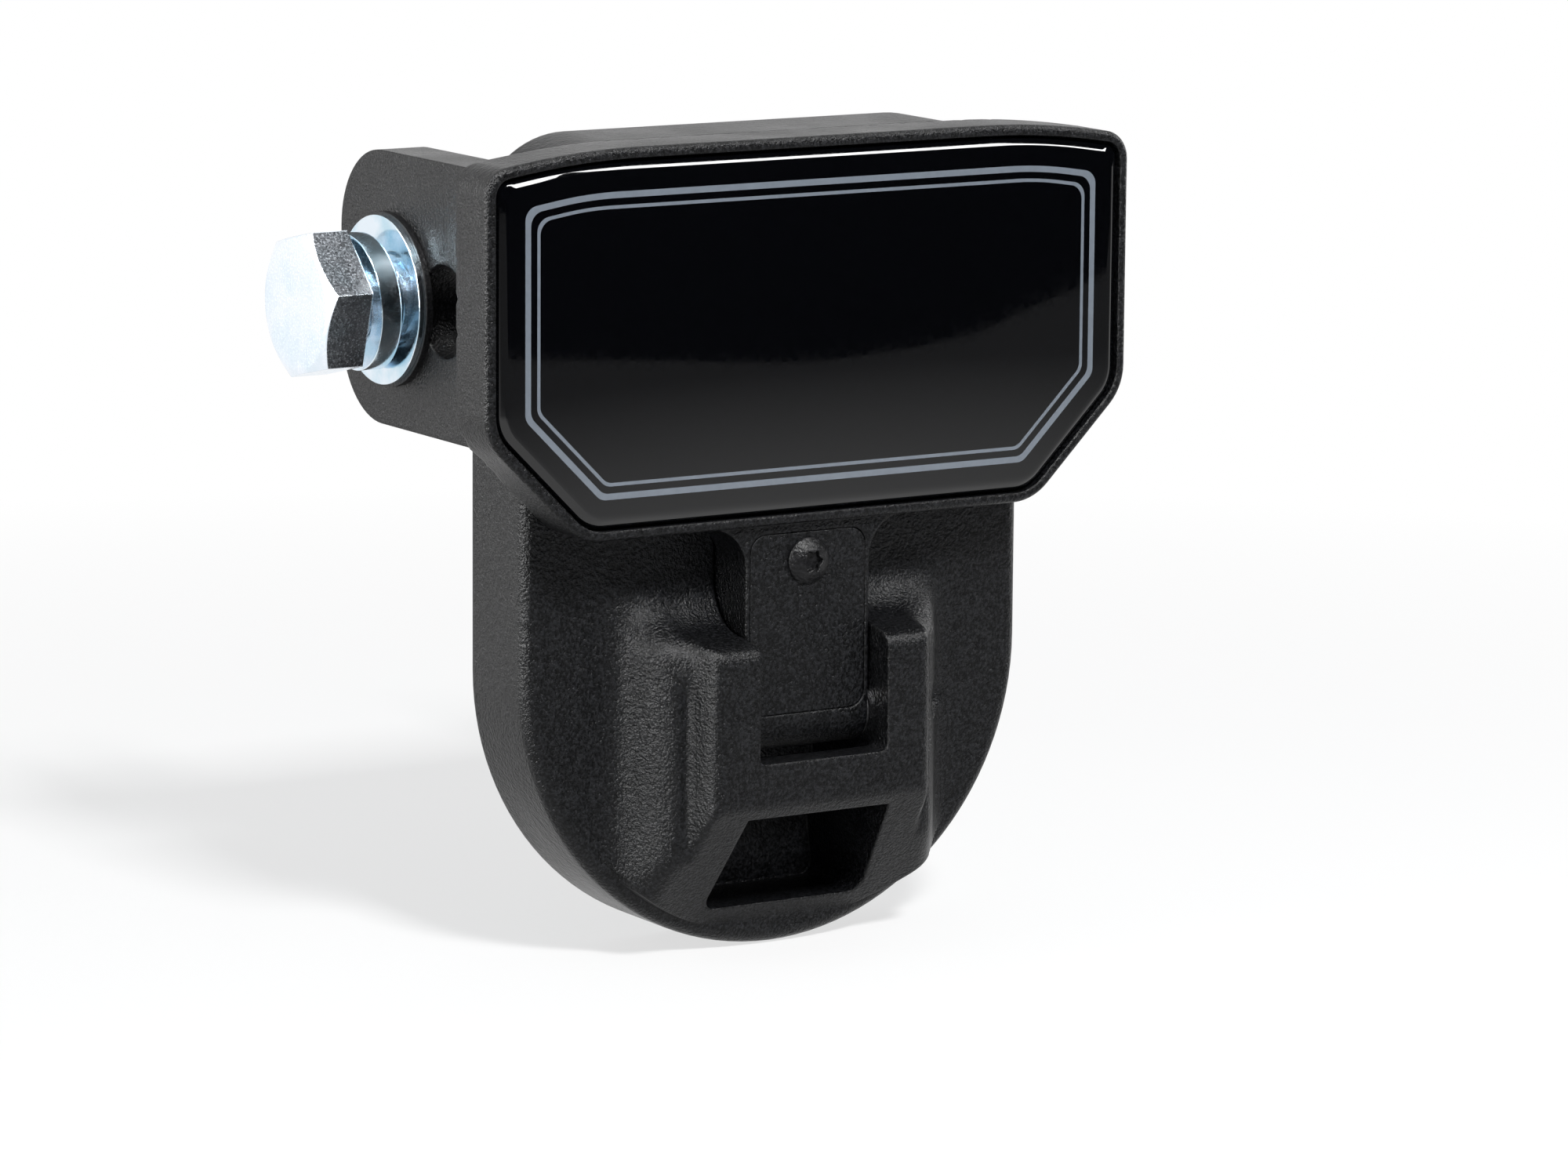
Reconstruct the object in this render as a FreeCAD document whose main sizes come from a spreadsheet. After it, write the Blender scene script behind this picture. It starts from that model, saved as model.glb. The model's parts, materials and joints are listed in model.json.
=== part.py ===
import FreeCAD, Part
import math
import os

import Sketcher

# Folding vehicle step that clamps round a square hitch receiver.
# Millimetres. +Z is up, +Y points towards the vehicle and X runs across it.
# The origin is the point of the plate's flat back that meets the middle of the receiver's mouth.
# The step is folded up, as it is carried on the road.

SIZES = (
    # mounting plate, a round-bottomed shield
    ("plate_width", 101.6),
    ("plate_depth", 18.2),
    ("plate_above", 32.4),
    ("plate_below", 111.2),
    ("plate_top_radius", 18.0),
    ("plate_edge_radius", 2.5),
    # cheeks that pass either side of the receiver
    ("receiver_gap", 76.4),
    ("cheek_inset", 3.3),
    ("cheek_length", 53.7),
    ("cheek_top", 26.1),
    ("cheek_bottom", 22.7),
    ("cheek_corner_radius", 15.0),
    ("cheek_root_radius", 1.0),
    ("bolt_setback", 35.5),
    ("bolt_hole_pitch", 19.6),
    ("bolt_hole_diameter", 16.5),
    # hinge
    ("hinge_drop", 69.4),
    ("hinge_forward", 4.5),
    ("pin_diameter", 6.0),
    ("pin_clearance", 0.05),
    ("pin_thread_diameter", 5.0),
    ("pin_thread_length", 8.0),
    ("pin_head_diameter", 8.5),
    ("pin_head_height", 4.0),
    ("pin_head_wall", 5.5),
    ("friction_washer_thickness", 0.5),
    ("friction_washer_diameter", 10.4),
    ("friction_washer_bore", 6.2),
    ("side_clearance", 0.05),
    # socket on the front of the plate
    ("arm_reach", 16.0),
    ("arm_width", 10.0),
    ("arm_rise", 15.7),
    ("arm_top_radius", 3.5),
    ("arm_side_radius", 3.0),
    ("stage_width", 6.9),
    ("stage_reach", 9.3),
    ("stage_radius", 4.4),
    ("valley_radius", 2.2),
    ("foot_radius", 4.5),
    ("shoulder_radius", 9.0),
    ("crossbar_height", 10.0),
    ("crossbar_depth", 5.5),
    ("crossbar_radius", 2.5),
    ("rest_clearance", 0.3),
    ("leg_knee", 13.3),
    ("leg_foot", 36.8),
    ("drain_width", 29.0),
    ("drain_flare", 2.0),
    ("drain_sill", 33.8),
    ("drain_depth", 14.0),
    ("slot_radius", 1.2),
    ("drain_radius", 2.5),
    ("well_depth", 8.8),
    ("well_top_depth", 3.0),
    ("well_shoulder", 26.0),
    ("well_rim", 42.5),
    # coring of the plate's back
    ("core_depth", 12.0),
    ("core_width", 10.0),
    ("core_height", 13.0),
    ("core_rib", 2.6),
    ("core_start", 20.5),
    ("core_edge_wall", 4.5),
    # step platform
    ("step_width", 130.0),
    ("step_foot", 35.1),
    ("step_height", 67.1),
    ("step_corner_drop", 2.9),
    ("step_slope_run", 19.0),
    ("step_shoulder_radius", 150.0),
    ("step_top_radius", 5.0),
    ("step_chamfer", 19.0),
    ("step_chamfer_radius", 10.0),
    ("step_thickness", 9.9),
    ("step_edge_radius", 1.0),
    ("tread_height", 1.6),
    ("tread_pitch", 6.0),
    ("front_offset", 7.5),
    # neck between platform and hinge
    ("neck_width", 25.0),
    ("neck_front_offset", 5.5),
    ("neck_back_offset", 5.5),
    ("neck_root_radius", 7.5),
    ("neck_taper_start", 32.2),
    ("neck_overlap", 7.0),
    # badge in the platform's outer face
    ("rim_width", 1.8),
    ("badge_gap", 0.5),
    ("recess_depth", 2.6),
    ("badge_plate_thickness", 1.0),
    ("badge_dome_thickness", 2.0),
    ("badge_dome_radius", 1.7),
    # cover on the neck
    ("cover_margin", 0.7),
    ("cover_thickness", 1.2),
    ("cover_gap", 0.15),
    ("cover_top", 33.2),
    ("cover_bottom", 1.5),
    ("cover_radius", 3.0),
    ("screw_height", 28.2),
    ("screw_head_diameter", 8.2),
    ("screw_head_height", 2.2),
    ("screw_diameter", 4.0),
    ("screw_length", 8.0),
    ("screw_socket", 2.6),
    ("screw_socket_depth", 1.4),
    # receiver bolt set
    ("bolt_diameter", 16.0),
    ("bolt_length", 130.0),
    ("bolt_head_flats", 24.0),
    ("bolt_head_height", 8.8),
    ("bolt_head_turn", 13.0),
    ("bolt_end_chamfer", 1.5),
    ("nut_height", 13.0),
    ("thread_clearance", 0.05),
    ("flat_washer_diameter", 30.0),
    ("flat_washer_thickness", 1.2),
    ("washer_bore", 17.0),
    ("backing_washer_diameter", 31.0),
    ("backing_washer_thickness", 1.2),
    ("spring_washer_diameter", 24.4),
    ("spring_washer_bore", 16.9),
    ("spring_washer_thickness", 3.9),
    ("spring_washer_rise", 3.9),
    ("spring_washer_gap_angle", 8.0),
)


class Size:
    """A length with its number and the spreadsheet expression that drives it."""

    def __init__(self, value, text):
        self.value = float(value)
        self.text = text

    @staticmethod
    def of(other):
        return other if isinstance(other, Size) else Size(other, repr(float(other)))

    def __add__(self, other):
        other = Size.of(other)
        return Size(self.value + other.value, "(%s + %s)" % (self.text, other.text))

    def __radd__(self, other):
        return Size.of(other) + self

    def __sub__(self, other):
        other = Size.of(other)
        return Size(self.value - other.value, "(%s - %s)" % (self.text, other.text))

    def __rsub__(self, other):
        return Size.of(other) - self

    def __mul__(self, other):
        other = Size.of(other)
        return Size(self.value * other.value, "(%s * %s)" % (self.text, other.text))

    def __rmul__(self, other):
        return Size.of(other) * self

    def __truediv__(self, other):
        other = Size.of(other)
        return Size(self.value / other.value, "(%s / %s)" % (self.text, other.text))

    def __neg__(self):
        return Size(-self.value, "(-1 * %s)" % self.text)

    def root(self):
        return Size(math.sqrt(self.value), "sqrt(%s)" % self.text)


class Sizes:
    """The driving dimensions, one attribute for each row of the spreadsheet."""


doc = FreeCAD.newDocument("vehicle_step")
sheet = doc.addObject("Spreadsheet::Sheet", "Sizes")
size = Sizes()
for row, (alias, number) in enumerate(SIZES, start=1):
    sheet.set("A%d" % row, alias)
    sheet.set("B%d" % row, str(number))
    sheet.setAlias("B%d" % row, alias)
    setattr(size, alias, Size(number, "Sizes." + alias))
doc.recompute()

ZERO = Size(0, "0")
# a half-round end keeps a hair's breadth of straight between its two quarter arcs
FULL_ROUND = 0.9999
# turned-off corners of a bolt head or nut: round face against the flats, and the cone's angle
BEVEL_FACE_SHARE = 0.97
BEVEL_ANGLE = 30
# depth of the hinge screw's socket against its head, and corner of the button head against its rise
PIN_SOCKET_SHARE = 0.6
BUTTON_SHARE = 0.8
PLANES = {
    "XY": FreeCAD.Rotation(),
    "XZ": FreeCAD.Rotation(FreeCAD.Vector(1, 0, 0), 90),
    "YZ": FreeCAD.Rotation(FreeCAD.Vector(1, 1, 1), 120),
}
ROLES = {"XY": "XY_Plane", "XZ": "XZ_Plane", "YZ": "YZ_Plane"}


# Helpers for sketches and solids

def pin_point(sketch, geometry, vertex, across, up):
    """Tie one sketch point to the sketch's origin by two driven distances."""
    for kind, distance in (("DistanceX", across), ("DistanceY", up)):
        mark = sketch.addConstraint(
            Sketcher.Constraint(kind, -1, 1, geometry, vertex, distance.value))
        sketch.setExpression("Constraints[%d]" % mark, distance.text)


def draw_outline(sketch, corners):
    """Closed outline through (across, up) corners, rounded where a corner has a radius."""
    spots = [FreeCAD.Vector(c[0].value, c[1].value, 0) for c in corners]
    count = len(corners)
    starts = list(spots)
    ends = [spots[(i + 1) % count] for i in range(count)]
    rounds = {}
    for i, corner in enumerate(corners):
        if len(corner) < 3:
            continue
        radius = corner[2].value
        inward = (spots[i - 1] - spots[i]).normalize()
        outward = (spots[(i + 1) % count] - spots[i]).normalize()
        half = inward.getAngle(outward) / 2
        reach = radius / math.tan(half)
        centre = spots[i] + (inward + outward).normalize() * (radius / math.sin(half))
        ends[i - 1] = spots[i] + inward * reach
        starts[i] = spots[i] + outward * reach
        rounds[i] = (centre, radius, inward.cross(outward).z < 0)
    lines = [
        sketch.addGeometry(Part.LineSegment(starts[i], ends[i]), False)
        for i in range(count)]
    for i, corner in enumerate(corners):
        before = lines[i - 1]
        after = lines[i]
        if i not in rounds:
            sketch.addConstraint(Sketcher.Constraint("Coincident", before, 2, after, 1))
            pin_point(sketch, after, 1, corner[0], corner[1])
            continue
        centre, radius, left_turn = rounds[i]
        first, last = (ends[i - 1], starts[i]) if left_turn else (starts[i], ends[i - 1])
        angles = [math.atan2(p.y - centre.y, p.x - centre.x) for p in (first, last)]
        if angles[1] < angles[0]:
            angles[1] += 2 * math.pi
        circle = Part.Circle(centre, FreeCAD.Vector(0, 0, 1), radius)
        arc = sketch.addGeometry(Part.ArcOfCircle(circle, angles[0], angles[1]), False)
        virtual = sketch.addGeometry(Part.Point(spots[i]), True)
        pin_point(sketch, virtual, 1, corner[0], corner[1])
        sketch.addConstraint(Sketcher.Constraint("PointOnObject", virtual, 1, before))
        sketch.addConstraint(Sketcher.Constraint("PointOnObject", virtual, 1, after))
        near, far = (1, 2) if left_turn else (2, 1)
        sketch.addConstraint(Sketcher.Constraint("Tangent", before, 2, arc, near))
        sketch.addConstraint(Sketcher.Constraint("Tangent", arc, far, after, 1))
        mark = sketch.addConstraint(Sketcher.Constraint("Radius", arc, radius))
        sketch.setExpression("Constraints[%d]" % mark, corner[2].text)


def draw_circle(sketch, across, up, radius):
    """Circle whose centre and radius are driven."""
    centre = FreeCAD.Vector(across.value, up.value, 0)
    circle = Part.Circle(centre, FreeCAD.Vector(0, 0, 1), radius.value)
    mark = sketch.addGeometry(circle, False)
    pin_point(sketch, mark, 3, across, up)
    driven = sketch.addConstraint(Sketcher.Constraint("Radius", mark, radius.value))
    sketch.setExpression("Constraints[%d]" % driven, radius.text)


def loose_sketch(name, plane):
    """Sketch in a principal plane for the solids made by plain extrusion."""
    sketch = doc.addObject("Sketcher::SketchObject", name + "_sketch")
    sketch.Placement = FreeCAD.Placement(FreeCAD.Vector(), PLANES[plane])
    return sketch


def extruded(name, plane, start, stop, corners=None, circle=None):
    """Solid between two positions along the normal of its sketch's plane."""
    sketch = loose_sketch(name, plane)
    if corners:
        draw_outline(sketch, corners)
    else:
        draw_circle(sketch, *circle)
    solid = doc.addObject("Part::Extrusion", name)
    solid.Base = sketch
    solid.DirMode = "Custom"
    normal = {"XY": (0, 0, 1), "XZ": (0, 1, 0), "YZ": (1, 0, 0)}[plane]
    solid.Dir = FreeCAD.Vector(*normal)
    solid.Solid = True
    solid.setExpression("LengthFwd", stop.text)
    solid.setExpression("LengthRev", (-start).text)
    return solid


def combined(kind, name, *objects):
    """Boolean of whole objects: Fuse and Common take many, Cut takes base and tools."""
    if kind == "Cut":
        result = doc.addObject("Part::Cut", name)
        result.Base = objects[0]
        result.Tool = objects[1]
        return result
    result = doc.addObject("Part::Multi" + kind, name)
    result.Shapes = list(objects)
    return result


def rounded(name, base, radius, test):
    """Fillet of every edge of the base that passes the test."""
    doc.recompute()
    fillet = doc.addObject("Part::Fillet", name)
    fillet.Base = base
    fillet.Edges = [
        (number, radius.value, radius.value)
        for number, edge in enumerate(base.Shape.Edges, start=1) if test(edge)]
    return fillet


def new_body(name):
    body = doc.addObject("PartDesign::Body", name)
    body.Label = name
    return body


def body_sketch(body, name, plane):
    """Sketch on one of the body's own origin planes."""
    sketch = body.newObject("Sketcher::SketchObject", name)
    origin_plane = [f for f in body.Origin.OriginFeatures if f.Role == ROLES[plane]][0]
    sketch.AttachmentSupport = [(origin_plane, "")]
    sketch.MapMode = "FlatFace"
    return sketch


def turned(body, name, corners):
    """Ring or shaft turned round the body's X axis; corners are (along, radius)."""
    sketch = body_sketch(body, name + "_profile", "XY")
    draw_outline(sketch, corners)
    revolution = body.newObject("PartDesign::Revolution", name)
    revolution.Profile = sketch
    revolution.ReferenceAxis = (sketch, ["H_Axis"])
    revolution.Angle = 360
    body.Tip = revolution
    return revolution


def place(thing, across, back, up):
    """Put an object at a driven position."""
    thing.setExpression(".Placement.Base.x", across.text)
    thing.setExpression(".Placement.Base.y", back.text)
    thing.setExpression(".Placement.Base.z", up.text)


def flat_at(edge, axis, position, slack=0.01):
    """True where the whole edge lies at one position along an axis."""
    box = edge.BoundBox
    low = getattr(box, axis + "Min")
    high = getattr(box, axis + "Max")
    return abs(low - position) < slack and abs(high - position) < slack


# Shared positions

front_face = -size.plate_depth
hinge_y = front_face - size.hinge_forward
hinge_z = -size.hinge_drop
socket_half = (
    size.neck_width / 2 + size.friction_washer_thickness + size.side_clearance * 2)
arm_outer = socket_half + size.arm_width
arm_front = front_face - size.arm_reach
stage_outer = arm_outer + size.stage_width
stage_front = front_face - size.stage_reach
crossbar_top = hinge_z - size.neck_front_offset - size.rest_clearance
crossbar_bottom = crossbar_top - size.crossbar_height
crossbar_back = arm_front + size.crossbar_depth
arm_top = hinge_z + size.arm_rise
step_front = hinge_y - size.front_offset
step_back = step_front + size.step_thickness
step_bottom = hinge_z + size.step_foot
step_top = step_bottom + size.step_height
neck_front = hinge_y - size.neck_front_offset
neck_back = hinge_y + size.neck_back_offset
plate_centre = -size.plate_below + size.plate_width / 2
cheek_inner = size.receiver_gap / 2
cheek_outer = size.plate_width / 2 - size.cheek_inset


# Mounting bracket, one casting

def plate_outline(inset):
    """Shield outline: rounded top corners and a half-round bottom, moved inwards by an inset."""
    half = size.plate_width / 2 - inset
    top = size.plate_above - inset
    low = -size.plate_below + inset
    radius = size.plate_top_radius - inset
    return [
        (-half, low, half * FULL_ROUND), (half, low, half * FULL_ROUND),
        (half, top, radius), (-half, top, radius)]


def make_plate():
    plate = extruded("plate", "XZ", front_face, ZERO, plate_outline(ZERO))
    return rounded(
        "plate_rounded", plate, size.plate_edge_radius,
        lambda edge: flat_at(edge, "Y", front_face.value))


def make_boss():
    """Arms on a lower stage: the plan and the side profile cut each other to shape."""
    foot = stage_outer + size.foot_radius * 2
    sunk = front_face + size.plate_edge_radius
    crest = arm_top + size.shoulder_radius * 2
    plan = extruded(
        "boss_plan", "XY", -size.plate_below, crest,
        [(-foot, sunk), (-foot, front_face), (-stage_outer, front_face, size.foot_radius),
         (-stage_outer, stage_front, size.stage_radius),
         (-arm_outer, stage_front, size.valley_radius),
         (-arm_outer, arm_front, size.arm_side_radius),
         (arm_outer, arm_front, size.arm_side_radius),
         (arm_outer, stage_front, size.valley_radius),
         (stage_outer, stage_front, size.stage_radius),
         (stage_outer, front_face, size.foot_radius), (foot, front_face), (foot, sunk)])
    knee = hinge_z - size.leg_knee
    heel = hinge_z - size.leg_foot
    side = extruded(
        "boss_side", "YZ", -foot, foot,
        [(sunk, heel), (sunk, crest), (front_face, crest),
         (front_face, arm_top, size.shoulder_radius),
         (arm_front, arm_top, size.arm_top_radius),
         (arm_front, knee, size.arm_top_radius), (front_face, heel)])
    face = extruded("boss_face", "XZ", arm_front, sunk, plate_outline(size.plate_edge_radius))
    return combined("Common", "boss", plan, side, face)


def make_socket_space():
    """Everything that is open for the neck: slot between the arms, well and drain."""
    clear = arm_front - size.arm_reach
    lip = hinge_z + size.well_rim
    slot = extruded(
        "slot", "XZ", clear, crossbar_back,
        [(-socket_half, crossbar_top, size.slot_radius),
         (socket_half, crossbar_top, size.slot_radius),
         (socket_half, lip), (-socket_half, lip)])
    deep = front_face + size.well_depth
    shallow = front_face + size.well_top_depth
    ledge = hinge_z + size.well_shoulder
    well = extruded(
        "well", "YZ", -socket_half, socket_half,
        [(crossbar_back, crossbar_bottom), (deep, crossbar_bottom), (deep, hinge_z),
         (shallow, ledge), (shallow, lip - size.well_top_depth), (front_face, lip),
         (crossbar_back, lip)])
    half = size.drain_width / 2
    low_half = half + size.drain_flare
    sill = hinge_z - size.drain_sill
    drain = extruded(
        "drain", "XZ", clear, front_face + size.drain_depth,
        [(-low_half, sill, size.drain_radius), (low_half, sill, size.drain_radius),
         (half, crossbar_bottom), (-half, crossbar_bottom)])
    radius = size.crossbar_radius
    ahead = arm_front - radius
    past = radius * 2
    nose = extruded(
        "crossbar_nose", "YZ", -half, half,
        [(ahead, crossbar_bottom + past), (arm_front, crossbar_bottom + past),
         (arm_front, crossbar_bottom, radius), (arm_front + past, crossbar_bottom),
         (arm_front + past, crossbar_bottom - radius), (ahead, crossbar_bottom - radius)])
    return combined("Fuse", "socket_space", slot, well, drain, nose)


def make_cores():
    """Rows of open cells in the plate's back, either side of the well."""
    inner_radius = size.plate_width / 2 - size.core_edge_wall
    rows_top = -size.cheek_bottom - size.core_rib * 2
    cells = []
    column_step = size.core_width + size.core_rib
    row_step = size.core_height + size.core_rib
    room = inner_radius - size.core_start - size.core_width
    columns = int(room.value / column_step.value) + 1
    for column in range(columns):
        near = size.core_start + column_step * column
        far = near + size.core_width
        reach = (inner_radius * inner_radius - far * far).root()
        floor = plate_centre - reach
        rows = int((rows_top.value - floor.value) / row_step.value)
        for row in range(rows):
            top = rows_top - row_step * row
            for side in (-1, 1):
                name = "core_%s%d%d" % ("left" if side < 0 else "right", column, row)
                cell = doc.addObject("Part::Box", name)
                cell.setExpression("Length", size.core_width.text)
                cell.setExpression("Width", (size.core_depth * 2).text)
                cell.setExpression("Height", size.core_height.text)
                place(cell, near if side > 0 else -far, -size.core_depth, top - size.core_height)
                cells.append(cell)
    return combined("Fuse", "cores", *cells)


def make_cheeks():
    """Two ears with the overlapping pair of bolt holes."""
    top = size.cheek_top
    low = -size.cheek_bottom
    rear = size.cheek_length
    radius = size.cheek_corner_radius
    sunk = -size.plate_edge_radius
    ears = []
    for side, near, far in (("left", -cheek_outer, -cheek_inner), ("right", cheek_inner, cheek_outer)):
        ears.append(extruded(
            "cheek_" + side, "YZ", near, far,
            [(sunk, low), (rear, low, radius), (rear, top, radius), (sunk, top)]))
    holes = []
    for name, back in (("rear", size.bolt_setback), ("front", size.bolt_setback - size.bolt_hole_pitch)):
        hole = doc.addObject("Part::Cylinder", name + "_bolt_hole")
        hole.setExpression("Radius", (size.bolt_hole_diameter / 2).text)
        hole.setExpression("Height", (cheek_outer * 4).text)
        hole.Placement.Rotation = FreeCAD.Rotation(FreeCAD.Vector(0, 1, 0), 90)
        place(hole, -cheek_outer * 2, back, ZERO)
        holes.append(hole)
    ears_together = combined("Fuse", "ears", *ears)
    holes_together = combined("Fuse", "bolt_holes", *holes)
    return combined("Cut", "cheeks", ears_together, holes_together)


def make_hinge_bores():
    """Bore for the pin, counterbore for its head on the right and tapping on the left."""
    head_seat = socket_half + size.pin_head_wall
    bore = extruded(
        "pin_bore", "YZ", -socket_half, head_seat,
        circle=(hinge_y, hinge_z, size.pin_diameter / 2 + size.pin_clearance))
    tap = extruded(
        "pin_tap", "YZ", -socket_half - size.pin_thread_length, -socket_half,
        circle=(hinge_y, hinge_z, size.pin_thread_diameter / 2 + size.thread_clearance))
    counterbore = extruded(
        "pin_counterbore", "YZ", head_seat, size.plate_width / 2 - size.core_rib,
        circle=(hinge_y, hinge_z, size.pin_head_diameter / 2 + size.pin_clearance))
    return combined("Fuse", "hinge_bores", bore, tap, counterbore)


def make_bracket():
    solid = combined("Fuse", "bracket_solid", make_plate(), make_boss(), make_cheeks())
    filleted = rounded(
        "bracket_filleted", solid, size.cheek_root_radius,
        lambda edge: flat_at(edge, "Y", 0) and (
            flat_at(edge, "X", cheek_outer.value) or flat_at(edge, "X", -cheek_outer.value)))
    spaces = combined(
        "Fuse", "bracket_spaces", make_socket_space(), make_cores(), make_hinge_bores())
    return combined("Cut", "mount_bracket", filleted, spaces)


# Folding step, one casting with the tread on its upper side

def step_outline(inset):
    """Six-sided outline of the platform, moved inwards by an inset."""
    half = size.step_width / 2
    fall = size.step_corner_drop / size.step_slope_run
    slant = (fall * fall + 1).root()
    nick = inset * (math.sqrt(2) - 1)
    low_x = half - size.step_chamfer - nick
    side_z = step_bottom + size.step_chamfer + nick
    corner_z = step_top - size.step_corner_drop - inset * (slant - fall)
    shoulder_x = half - size.step_slope_run - inset * ((slant - 1) / fall)
    side_x = half - inset
    top_z = step_top - inset
    low_z = step_bottom + inset
    round_low = size.step_chamfer_radius - inset
    round_top = size.step_top_radius - inset
    round_shoulder = size.step_shoulder_radius - inset
    right = [
        (low_x, low_z, round_low), (side_x, side_z, round_low),
        (side_x, corner_z, round_top), (shoulder_x, top_z, round_shoulder)]
    left = [(-c[0], c[1], c[2]) for c in reversed(right)]
    return right + left


def make_tread_grooves():
    """V grooves in two directions that leave rows of small pyramids."""
    half = size.step_width / 2
    pitch = size.tread_pitch
    peak = step_back + size.tread_height
    grooves = []
    columns = int(math.ceil(half.value / pitch.value))
    for column in range(-columns, columns + 1):
        middle = pitch * column
        grooves.append(extruded(
            "tread_column_%02d" % (column + columns), "XY",
            step_bottom - pitch, step_top + pitch,
            [(middle - pitch / 2, peak), (middle, step_back), (middle + pitch / 2, peak)]))
    rows = int(math.ceil(size.step_height.value / pitch.value))
    for row in range(rows + 1):
        middle = step_bottom + pitch * row
        grooves.append(extruded(
            "tread_row_%02d" % row, "YZ", -half - pitch, half + pitch,
            [(peak, middle - pitch / 2), (step_back, middle), (peak, middle + pitch / 2)]))
    return combined("Fuse", "tread_grooves", *grooves)


def make_platform():
    peak = step_back + size.tread_height
    slab = extruded("slab", "XZ", step_front, peak, step_outline(ZERO))
    slab_rounded = rounded(
        "slab_rounded", slab, size.step_edge_radius,
        lambda edge: flat_at(edge, "Y", step_front.value))
    return combined("Cut", "platform", slab_rounded, make_tread_grooves())


def make_neck():
    """Neck and knuckle: front outline and side profile cut each other to shape."""
    half = size.neck_width / 2
    crest = step_bottom + size.neck_overlap
    spread = half + size.neck_root_radius * 1.5
    knuckle_low = hinge_z - size.neck_front_offset
    wings = extruded(
        "neck_wings", "XZ", neck_front, step_back + size.tread_height,
        [(-spread, crest), (-spread, step_bottom), (-half, step_bottom, size.neck_root_radius),
         (-half, knuckle_low), (half, knuckle_low),
         (half, step_bottom, size.neck_root_radius), (spread, step_bottom), (spread, crest)])
    stem = extruded(
        "neck_stem", "XZ", neck_front, neck_back,
        [(-half, crest), (-half, knuckle_low), (half, knuckle_low), (half, crest)])
    outline = combined("Fuse", "neck_outline", wings, stem)
    knuckle_radius = size.neck_front_offset * FULL_ROUND
    profile = extruded(
        "neck_profile", "YZ", -spread, spread,
        [(neck_front, crest), (neck_front, knuckle_low, knuckle_radius),
         (neck_back, knuckle_low, knuckle_radius),
         (neck_back, hinge_z + size.neck_taper_start), (step_back, crest)])
    return combined("Common", "neck", outline, profile)


def cover_outline(grow):
    """Outline of the neck's cover plate, grown by a clearance for its recess."""
    half = size.neck_width / 2 - size.cover_margin - size.cover_gap + grow
    low = hinge_z + size.cover_bottom - grow
    high = hinge_z + size.cover_top + grow
    return [
        (-half, low, size.cover_radius), (half, low, size.cover_radius),
        (half, high, size.cover_radius), (-half, high, size.cover_radius)]


def make_step():
    solid = combined("Fuse", "step_solid", make_platform(), make_neck())
    badge_recess = extruded(
        "badge_recess", "XZ", step_front - size.recess_depth, step_front + size.recess_depth,
        step_outline(size.rim_width))
    cover_recess = extruded(
        "cover_recess", "XZ", neck_front - size.cover_thickness * 2,
        neck_front + size.cover_thickness, cover_outline(size.cover_gap))
    bore = extruded(
        "knuckle_bore", "YZ", -size.neck_width, size.neck_width,
        circle=(hinge_y, hinge_z, size.pin_diameter / 2 + size.pin_clearance))
    screw_hole = extruded(
        "screw_hole", "XZ", neck_front, neck_front + size.cover_thickness + size.screw_length,
        circle=(ZERO, hinge_z + size.screw_height, size.screw_diameter / 2 + size.thread_clearance))
    spaces = combined("Fuse", "step_spaces", badge_recess, cover_recess, bore, screw_hole)
    return combined("Cut", "step_casting", solid, spaces)


# Badge and neck cover

def make_badge():
    inset = size.rim_width + size.badge_gap
    floor = step_front + size.recess_depth
    seam = floor - size.badge_plate_thickness
    crown = seam - size.badge_dome_thickness
    plate = extruded("badge_plate", "XZ", seam, floor, step_outline(inset))
    blank = extruded("badge_dome_blank", "XZ", crown, seam, step_outline(inset))
    dome = rounded(
        "badge_dome", blank, size.badge_dome_radius,
        lambda edge: flat_at(edge, "Y", crown.value))
    return [plate, dome]


def make_cover():
    back = neck_front + size.cover_thickness
    blank = extruded("cover_blank", "XZ", neck_front, back, cover_outline(ZERO))
    hole = extruded(
        "cover_hole", "XZ", neck_front - size.cover_thickness, back + size.cover_thickness,
        circle=(ZERO, hinge_z + size.screw_height, size.screw_diameter / 2 + size.thread_clearance))
    return combined("Cut", "neck_cover", blank, hole)


def make_neck_screw():
    """Button-head screw, turned, with a six-sided socket."""
    body = new_body("neck_screw")
    head = size.screw_head_diameter / 2
    shank = size.screw_diameter / 2
    rise = size.screw_head_height
    turned(body, "neck_screw_turned", [
        (-rise, ZERO), (-rise, head, rise * BUTTON_SHARE), (ZERO, head), (ZERO, shank),
        (size.cover_thickness + size.screw_length - size.thread_clearance, shank),
        (size.cover_thickness + size.screw_length - size.thread_clearance, ZERO)])
    cut_socket(body, "neck_screw_socket", size.screw_socket, -rise, size.screw_socket_depth, True)
    body.Placement.Rotation = FreeCAD.Rotation(FreeCAD.Vector(0, 0, 1), 90)
    place(body, ZERO, neck_front, hinge_z + size.screw_height)
    return body


def hexagon(across_flats):
    """Six corners (across, up) of a hexagon with a corner on the first axis."""
    radius = across_flats / math.sqrt(3)
    return [
        (radius * math.cos(math.radians(60 * i)), radius * math.sin(math.radians(60 * i)))
        for i in range(6)]


def cut_socket(body, name, across_flats, start, depth, towards_plus_x):
    """Six-sided pocket sunk along X from a face at a position along X."""
    sketch = body_sketch(body, name + "_sketch", "YZ")
    draw_outline(sketch, hexagon(across_flats))
    sketch.setExpression(".AttachmentOffset.Base.z", start.text)
    doc.recompute()
    before = body.Shape.Volume
    pocket = body.newObject("PartDesign::Pocket", name)
    pocket.Profile = sketch
    pocket.setExpression("Length", depth.text)
    pocket.Reversed = towards_plus_x
    body.Tip = pocket
    doc.recompute()
    if body.Shape.Volume >= before:
        raise RuntimeError(name + " cut nothing")
    return pocket


# Hinge hardware

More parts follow.
